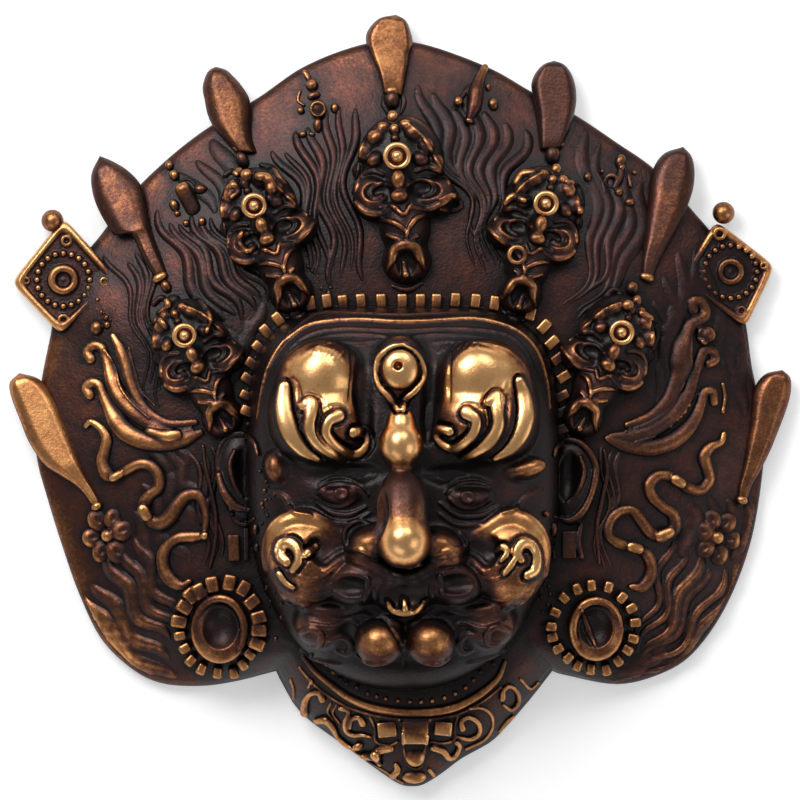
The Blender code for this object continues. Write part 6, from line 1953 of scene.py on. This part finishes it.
def rub_and_shade_pieces(pieces):
    """Stores on every vertex how far its patina is rubbed off, from the relief round it, with painted
    shade in creases, under overhangs and in the shaded hollows.
    """
    heights = height_map(pieces)
    means = [(blurred(heights, scale), gain, most) for scale, gain, most in RELIEF_PULLS]
    for piece in pieces:
        places = mesh_places(piece)
        x, y, z = places.T.astype(float)
        normals = np.empty(3 * len(places), np.float32)
        piece.data.vertex_normals.foreach_get("vector", normals)
        upward = normals.reshape(-1, 3)[:, 2]
        base, pull = piece_wear(piece.name)
        wear = np.full(len(places), base)
        # Places under the blurred heights round them come out darker: real patina in the hollows and
        # painted shade in creases and under what stands over them
        for mean, gain, most in means:
            wear += pull * np.clip(gain * (z - read_map(mean, x, y)), -most, most)
        wear += UPWARD_PULL * (upward - UPWARD_LEVEL)
        # Rubbed patches lighten faces turned up; the shaded patches paint shade into the hollows
        wear += patches(RUBBED, x, y) * np.clip(upward * 1.6, 0, 1) - patches(PAINTED_SHADE, x, y)
        reach, angle = polar(x, y)
        edge = outline_radius(angle) - reach
        if piece.name in ("plate", "lobe_left"):
            worn_side = np.clip((-x - EDGE_START) / EDGE_FADE, 0, 1)
            wear += EDGE_WEAR * worn_side * np.clip(1 - np.abs(edge - 1.5) / EDGE_WIDTH, 0, 1)
        if piece.name == "face":
            wear += face_strokes(x, y)
        if piece.name.startswith("side_carving_"):
            wear += side_strokes(piece.name[13:], x, y)
        if piece.name.startswith("skull_"):
            wear += ring_strokes(piece.name[6:], x, y)
        wear = np.where(upward < HIDDEN_BELOW, HIDDEN_WEAR, wear)
        layer = piece.data.attributes.new("wear", "FLOAT", "POINT")
        layer.data.foreach_set("value", np.clip(wear, 0, 1).astype(np.float32))


def hex_colour(text):
    """A linear colour from sRGB hex."""
    values = [int(text[i:i + 2], 16) / 255 for i in (1, 3, 5)]
    linear = [v / 12.92 if v <= 0.04045 else ((v + 0.055) / 1.055) ** 2.4 for v in values]
    return (*linear, 1.0)


def add_node(tree, kind, *inputs, stops=(), **settings):
    """A node: inputs filled or linked in order or by name, settings by name, a ramp's stops."""
    node = tree.nodes.new(kind)
    filled = list(zip(node.inputs, inputs))
    for key, value in settings.items():
        if key in node.bl_rna.properties:
            setattr(node, key, value)
        else:
            filled.append((node.inputs[key.replace("_", " ")], value))
    for socket, value in filled:
        if isinstance(value, bpy.types.NodeSocket):
            tree.links.new(value, socket)
        else:
            socket.default_value = value
    if stops:
        elements = node.color_ramp.elements
        elements.remove(elements[1])
        elements[0].position = stops[0][0]
        for place, _ in stops[1:]:
            elements.new(place)
        for element, (_, colour) in zip(elements, stops):
            element.color = (*colour[:3], 1) if isinstance(colour, tuple) else (colour, colour, colour,
                1)
    return node


def per_mm(size):
    """A texture scale that gives features of the given size in millimetres."""
    return 1000 / size


# Cast bronze under a dark red-brown patina, rubbed to gold on the high spots, with painted shade
# darkening the hollows
def bronze_material(finish):
    material = bpy.data.materials.new("patinated_bronze")
    material.use_nodes = True
    tree = material.node_tree
    where = add_node(tree, "ShaderNodeTexCoord").outputs["Object"]
    # Clouds and speckle shift how far the patina looks rubbed
    cloud = add_node(tree, "ShaderNodeTexNoise", Vector=where, Scale=per_mm(7.0), Detail=4.0,
                     Roughness=0.6).outputs["Fac"]
    grain = add_node(tree, "ShaderNodeTexNoise", Vector=where, Scale=1 / finish.grain, Detail=5.0,
                     Roughness=0.7).outputs["Fac"]
    # The attribute read here holds the rubbed patina together with painted shade from the relief and
    # the shaded patches
    wear = add_node(tree, "ShaderNodeAttribute", attribute_name="wear").outputs["Fac"]
    rubbed = add_node(tree, "ShaderNodeMath", cloud, 0.34, wear, operation="MULTIPLY_ADD").outputs[0]
    rubbed = add_node(tree, "ShaderNodeMath", grain, 0.42, rubbed, operation="MULTIPLY_ADD").outputs[0]
    rubbed = add_node(tree, "ShaderNodeMath", rubbed, finish.wear - 0.38, operation="ADD").outputs[0]
    colour = add_node(tree, "ShaderNodeValToRGB", rubbed, stops=(
        (0.0, hex_colour("#140E0E")), (0.18, (*finish.patina,)), (0.34, hex_colour("#3C2A28")),
        (0.48, (*finish.brown,)), (0.6, hex_colour("#85573A")), (0.72, (*finish.bare,)),
        (0.86, hex_colour("#DCA066")), (1.0, (*finish.polished,)),
    )).outputs["Color"]
    # Red oxide clouds in the patina
    red = add_node(tree, "ShaderNodeTexNoise", Vector=where, Scale=per_mm(14.0), Detail=3.0,
                   Roughness=0.5).outputs["Fac"]
    redness = add_node(tree, "ShaderNodeMapRange", red, 0.46, 0.64, 0.0, 0.4).outputs["Result"]
    warm = add_node(tree, "ShaderNodeValToRGB", rubbed, stops=(
        (0.0, hex_colour("#1C0F0F")), (0.3, hex_colour("#43221F")), (0.5, hex_colour("#643A30")),
        (0.7, hex_colour("#A86F4C")), (1.0, hex_colour("#E9AC6E")),
    )).outputs["Color"]
    tint = add_node(tree, "ShaderNodeMix", data_type="RGBA", Factor=redness, A=colour, B=warm)
    metal = add_node(tree, "ShaderNodeMapRange", rubbed, 0.1, 0.5, 0.55, 1.0)
    rough = add_node(tree, "ShaderNodeValToRGB", rubbed, stops=(
        (0.1, 0.38), (0.4, 0.4), (0.6, 0.36), (1.0, 0.3)))
    pits = add_node(tree, "ShaderNodeTexNoise", Vector=where, Scale=per_mm(0.9), Detail=4.0,
                    Roughness=0.65).outputs["Fac"]
    lumps = add_node(tree, "ShaderNodeTexNoise", Vector=where, Scale=per_mm(3.6), Detail=3.0,
                     Roughness=0.6).outputs["Fac"]
    surface = add_node(tree, "ShaderNodeMath", lumps, 2.0, pits, operation="MULTIPLY_ADD").outputs[0]
    # Bare metal was rubbed smoother than the patina round it
    rough_cast = add_node(tree, "ShaderNodeMapRange", rubbed, 0.3, 0.65, 0.32, 0.14).outputs["Result"]
    bump = add_node(tree, "ShaderNodeBump", Strength=rough_cast, Distance=0.0003, Height=surface)
    shader = tree.nodes["Principled BSDF"]
    for name, source in (
        ("Base Color", tint.outputs["Result"]), ("Metallic", metal.outputs["Result"]),
        ("Roughness", rough.outputs["Color"]), ("Normal", bump.outputs["Normal"]),
    ):
        tree.links.new(source, shader.inputs[name])
    return material


def finish_pieces(pieces):
    """Wear and painted shade on every vertex, the one bronze on every piece, and fewer triangles in the
    reliefs.
    """
    rub_and_shade_pieces(pieces)
    bronze = bronze_material(bpy.context.scene.bhairava_finish)
    for piece in pieces:
        piece.data.materials.clear()
        piece.data.materials.append(bronze)
        if piece.name == "face":
            thin(piece, FACE_TRIANGLES)
        elif piece.name.startswith(RELIEFS):
            thin(piece, RELIEF_SHARE * triangle_count(piece))


# Lights: place and size in metres, and power as a share of the key's
LIGHTS = (
    ("key", (-0.45, 0.6, 0.8), (0.65, 0.5), 1.0), ("top", (0.3, 0.75, 0.75), (0.5, 0.4), 0.3),
    ("fill", (0.85, -0.3, 0.6), (0.6, 0.6), 0.16), ("low", (-0.45, -0.85, 0.6), (0.9, 0.4), 0.15),
)
AIM = Vector((0, 0, 0.03))
FLOOR_SIZE = 6
SENSOR = 36


def area_light(name, place, size, power):
    """A soft studio light, aimed at the mask."""
    data = bpy.data.lights.new(name, "AREA")
    data.shape = "RECTANGLE"
    data.size, data.size_y = size
    data.energy = power
    light = link_object(name, data)
    light.location = place
    aim = AIM - Vector(place)
    light.rotation_euler = aim.to_track_quat("-Z", "Y").to_euler()
    light.visible_camera = False


def studio_paper(colour):
    """Matt seamless paper, lit a little from under as on a light table."""
    material = bpy.data.materials.new("white_studio_paper")
    material.use_nodes = True
    shader = material.node_tree.nodes["Principled BSDF"]
    shader.inputs["Base Color"].default_value = (*colour, 1)
    shader.inputs["Roughness"].default_value = 0.9
    shader.inputs["Emission Color"].default_value = (1, 1, 1, 1)
    shader.inputs["Emission Strength"].default_value = 0.35
    return material


def lay_floor(colour):
    """A wide sheet under the mask's rim."""
    pick()
    bpy.ops.mesh.primitive_plane_add(size=FLOOR_SIZE, location=(0, 0, 0))
    floor = bpy.context.object
    floor.name = "floor"
    floor.data.materials.append(studio_paper(colour))


def hang_camera(height):
    """A long lens straight over the mask, as square to it as the photograph."""
    data = bpy.data.cameras.new("camera")
    data.sensor_width = SENSOR
    data.lens = SENSOR * height / PICTURE_WIDTH
    camera = link_object("camera", data)
    camera.location = (0, 0, height)
    bpy.context.scene.camera = camera


def light_stage(power):
    """Large key from the upper left, weak fills right and below, and a pale surround."""
    for name, place, size, share in LIGHTS:
        area_light(name, place, size, share * power)
    world = bpy.data.worlds.new("studio")
    world.use_nodes = True
    sky = world.node_tree.nodes["Background"]
    sky.inputs["Color"].default_value = (0.9, 0.9, 0.9, 1)
    sky.inputs["Strength"].default_value = 0.3
    bpy.context.scene.world = world
    bpy.context.scene.view_settings.view_transform = "Standard"


class MaskSizes(bpy.types.PropertyGroup):
    """Sizes of the carving that a user may change."""

    bead: bpy.props.FloatProperty(
        name="Hairline Bead", description="Half width of an upright bead of the hairline",
        default=0.00175, min=0.001, max=0.003, unit="LENGTH", precision=4,
    )
    strand: bpy.props.FloatProperty(
        name="Strand Height", description="Height of a full strand of hair over the plate",
        default=0.0012, min=0.0004, max=0.003, unit="LENGTH", precision=4,
    )
    blade: bpy.props.FloatProperty(
        name="Blade Thickness", description="Share of each blade's drawn thickness",
        default=1.0, min=0.6, max=1.2, subtype="FACTOR",
    )
    knob: bpy.props.FloatProperty(
        name="Knob Radius", description="Radius of the knobs behind the medallions",
        default=3.7 * MM, min=0.002, max=0.0045, unit="LENGTH", precision=4,
    )


def colour_property(name, text, description):
    """A colour that a user may change, with its sRGB hex as default."""
    return bpy.props.FloatVectorProperty(
        name=name, description=description, subtype="COLOR", size=3, min=0, max=1,
        default=hex_colour(text)[:3],
    )


class MaskFinish(bpy.types.PropertyGroup):
    """Colours and wear of the bronze."""

    patina: colour_property("Patina", "#251A1A", "Dark patina in the hollows")
    brown: colour_property("Brown", "#573A31", "Half worn patina on the fields")
    bare: colour_property("Bare Bronze", "#BC8252", "Bronze where the patina is rubbed through")
    polished: colour_property("Polished Bronze", "#F5BE82", "Bronze on the highest spots")
    wear: bpy.props.FloatProperty(
        name="Wear", description="More or less patina rubbed off all over",
        default=0.0, min=-0.3, max=0.3,
    )
    grain: bpy.props.FloatProperty(
        name="Grain", description="Size of the speckle in the patina",
        default=0.0011, min=0.0003, max=0.01, unit="LENGTH", precision=4,
    )


class MaskStage(bpy.types.PropertyGroup):
    """Floor, light and camera."""

    paper: bpy.props.FloatVectorProperty(
        name="Paper", description="Colour of the paper under the mask", subtype="COLOR", size=3,
        min=0, max=1, default=(0.86, 0.86, 0.86),
    )
    key: bpy.props.FloatProperty(
        name="Key Light", description="Power of the main light", default=8.4, min=0, unit="POWER",
    )
    height: bpy.props.FloatProperty(
        name="Camera Height", description="Height of the camera over the floor",
        default=4.0, min=1.0, max=10.0, unit="LENGTH",
    )


class BHAIRAVA_OT_plate(bpy.types.Operator):
    """The hollow casting under the carving, with its open back."""

    bl_idname = "bhairava.plate"
    bl_label = "Hollow Plate"

    def execute(self, context):
        make_plate()
        return {"FINISHED"}


class BHAIRAVA_OT_face(bpy.types.Operator):
    """The head with its brows, cheeks, mouth and chin, from clay."""

    bl_idname = "bhairava.face"
    bl_label = "Wrathful Face"

    def execute(self, context):
        make_face()
        return {"FINISHED"}


class BHAIRAVA_OT_skulls(bpy.types.Operator):
    """The five small skulls of the crown."""

    bl_idname = "bhairava.skulls"
    bl_label = "Skulls"

    def execute(self, context):
        for name in SKULLS:
            make_skull(name)
        return {"FINISHED"}


class BHAIRAVA_OT_blades(bpy.types.Operator):
    """The seven leaf blades round the edge and the collars that hold them."""

    bl_idname = "bhairava.blades"
    bl_label = "Blades and Collars"

    def execute(self, context):
        for name in BLADES:
            make_blade(name)
        make_collars()
        return {"FINISHED"}


class BHAIRAVA_OT_medallions(bpy.types.Operator):
    """The square plaques at the sides and the knobs behind them."""

    bl_idname = "bhairava.medallions"
    bl_label = "Medallions and Knobs"

    def execute(self, context):
        for name in MEDALLIONS:
            make_medallion(name)
            make_knob(name)
        return {"FINISHED"}


class BHAIRAVA_OT_side_carving(bpy.types.Operator):
    """The carving between the blades and the ears."""

    bl_idname = "bhairava.side_carving"
    bl_label = "Flames, Ribbons and Flowers"

    def execute(self, context):
        for name in SIDES:
            make_side(name)
        return {"FINISHED"}


class BHAIRAVA_OT_ears(bpy.types.Operator):
    """The ears and the strands beside them."""

    bl_idname = "bhairava.ears"
    bl_label = "Ears"

    def execute(self, context):
        for name in SIDES:
            make_ear(name)
        return {"FINISHED"}


class BHAIRAVA_OT_ear_discs(bpy.types.Operator):
    """The dished discs at the lobes, their rings and petals."""

    bl_idname = "bhairava.ear_discs"
    bl_label = "Ear Discs"

    def execute(self, context):
        for name in SIDES:
            make_disc(name)
        return {"FINISHED"}


class BHAIRAVA_OT_bib(bpy.types.Operator):
    """The scrolled collar under the chin."""

    bl_idname = "bhairava.bib"
    bl_label = "Bib"

    def execute(self, context):
        make_bib()
        return {"FINISHED"}


class BHAIRAVA_OT_crown_beads(bpy.types.Operator):
    """The upright beads along the hairline."""

    bl_idname = "bhairava.crown_beads"
    bl_label = "Hairline Beads"

    def execute(self, context):
        make_crown()
        return {"FINISHED"}


class BHAIRAVA_OT_ornaments(bpy.types.Operator):
    """The small ornaments between the skulls and the blades."""

    bl_idname = "bhairava.ornaments"
    bl_label = "Crest Ornaments"

    def execute(self, context):
        for name in ORNAMENT_FORMS:
            make_ornament(name)
        return {"FINISHED"}


class BHAIRAVA_OT_casting_lumps(bpy.types.Operator):
    """Small lumps that the casting left in the hollows."""

    bl_idname = "bhairava.casting_lumps"
    bl_label = "Casting Lumps"

    def execute(self, context):
        make_lumps()
        return {"FINISHED"}


class BHAIRAVA_OT_hair(bpy.types.Operator):
    """The locks combed into the plate."""

    bl_idname = "bhairava.hair"
    bl_label = "Hair"

    def execute(self, context):
        for name in LOCKS:
            make_hair(name)
        return {"FINISHED"}


class BHAIRAVA_OT_finish(bpy.types.Operator):
    """Wear and painted shade on every piece, then the one bronze."""

    bl_idname = "bhairava.finish"
    bl_label = "Bronze Finish"

    def execute(self, context):
        finish_pieces([item for item in bpy.data.objects if item.type == "MESH" and item.name != NODE])
        return {"FINISHED"}


class BHAIRAVA_OT_stage(bpy.types.Operator):
    """Paper, studio light and the camera over the mask."""

    bl_idname = "bhairava.stage"
    bl_label = "Stage"

    def execute(self, context):
        settings = context.scene.bhairava_stage
        for extra in list(bpy.data.objects):
            if extra.type in ("LIGHT", "CAMERA"):
                bpy.data.objects.remove(extra)
        lay_floor(settings.paper)
        light_stage(settings.key)
        hang_camera(settings.height)
        return {"FINISHED"}


OPERATORS = (
    BHAIRAVA_OT_plate, BHAIRAVA_OT_face, BHAIRAVA_OT_skulls, BHAIRAVA_OT_blades,
    BHAIRAVA_OT_medallions, BHAIRAVA_OT_side_carving, BHAIRAVA_OT_ears, BHAIRAVA_OT_ear_discs,
    BHAIRAVA_OT_bib, BHAIRAVA_OT_crown_beads, BHAIRAVA_OT_ornaments, BHAIRAVA_OT_casting_lumps,
    BHAIRAVA_OT_hair, BHAIRAVA_OT_finish, BHAIRAVA_OT_stage,
)


class VIEW3D_PT_bhairava(bpy.types.Panel):
    """Lists the mask's pieces, its finish and its stage."""

    bl_label = "Bhairava Mask"
    bl_idname = "VIEW3D_PT_bhairava"
    bl_space_type = "VIEW_3D"
    bl_region_type = "UI"
    bl_category = "Bhairava Mask"

    def draw(self, context):
        scene = context.scene
        for settings in (scene.bhairava_sizes, scene.bhairava_finish, scene.bhairava_stage):
            box = self.layout.box()
            for key in settings.__annotations__:
                box.prop(settings, key)
        column = self.layout.column(align=True)
        for operator in OPERATORS:
            column.operator(operator.bl_idname)


GROUPS = {"bhairava_sizes": MaskSizes, "bhairava_finish": MaskFinish, "bhairava_stage": MaskStage}


def register():
    """Adds the classes and the three groups of settings."""
    for kind in (*GROUPS.values(), *OPERATORS, VIEW3D_PT_bhairava):
        bpy.utils.register_class(kind)
    for name, group in GROUPS.items():
        setattr(bpy.types.Scene, name, bpy.props.PointerProperty(type=group))


def unregister():
    """Takes away what register added."""
    for name in GROUPS:
        delattr(bpy.types.Scene, name)
    for kind in (VIEW3D_PT_bhairava, *OPERATORS[::-1], *GROUPS.values()):
        bpy.utils.unregister_class(kind)


def main():
    """Makes every piece through its operator."""
    register()
    for operator in OPERATORS:
        group, name = operator.bl_idname.split(".")
        getattr(getattr(bpy.ops, group), name)()


if __name__ == "__main__":
    main()
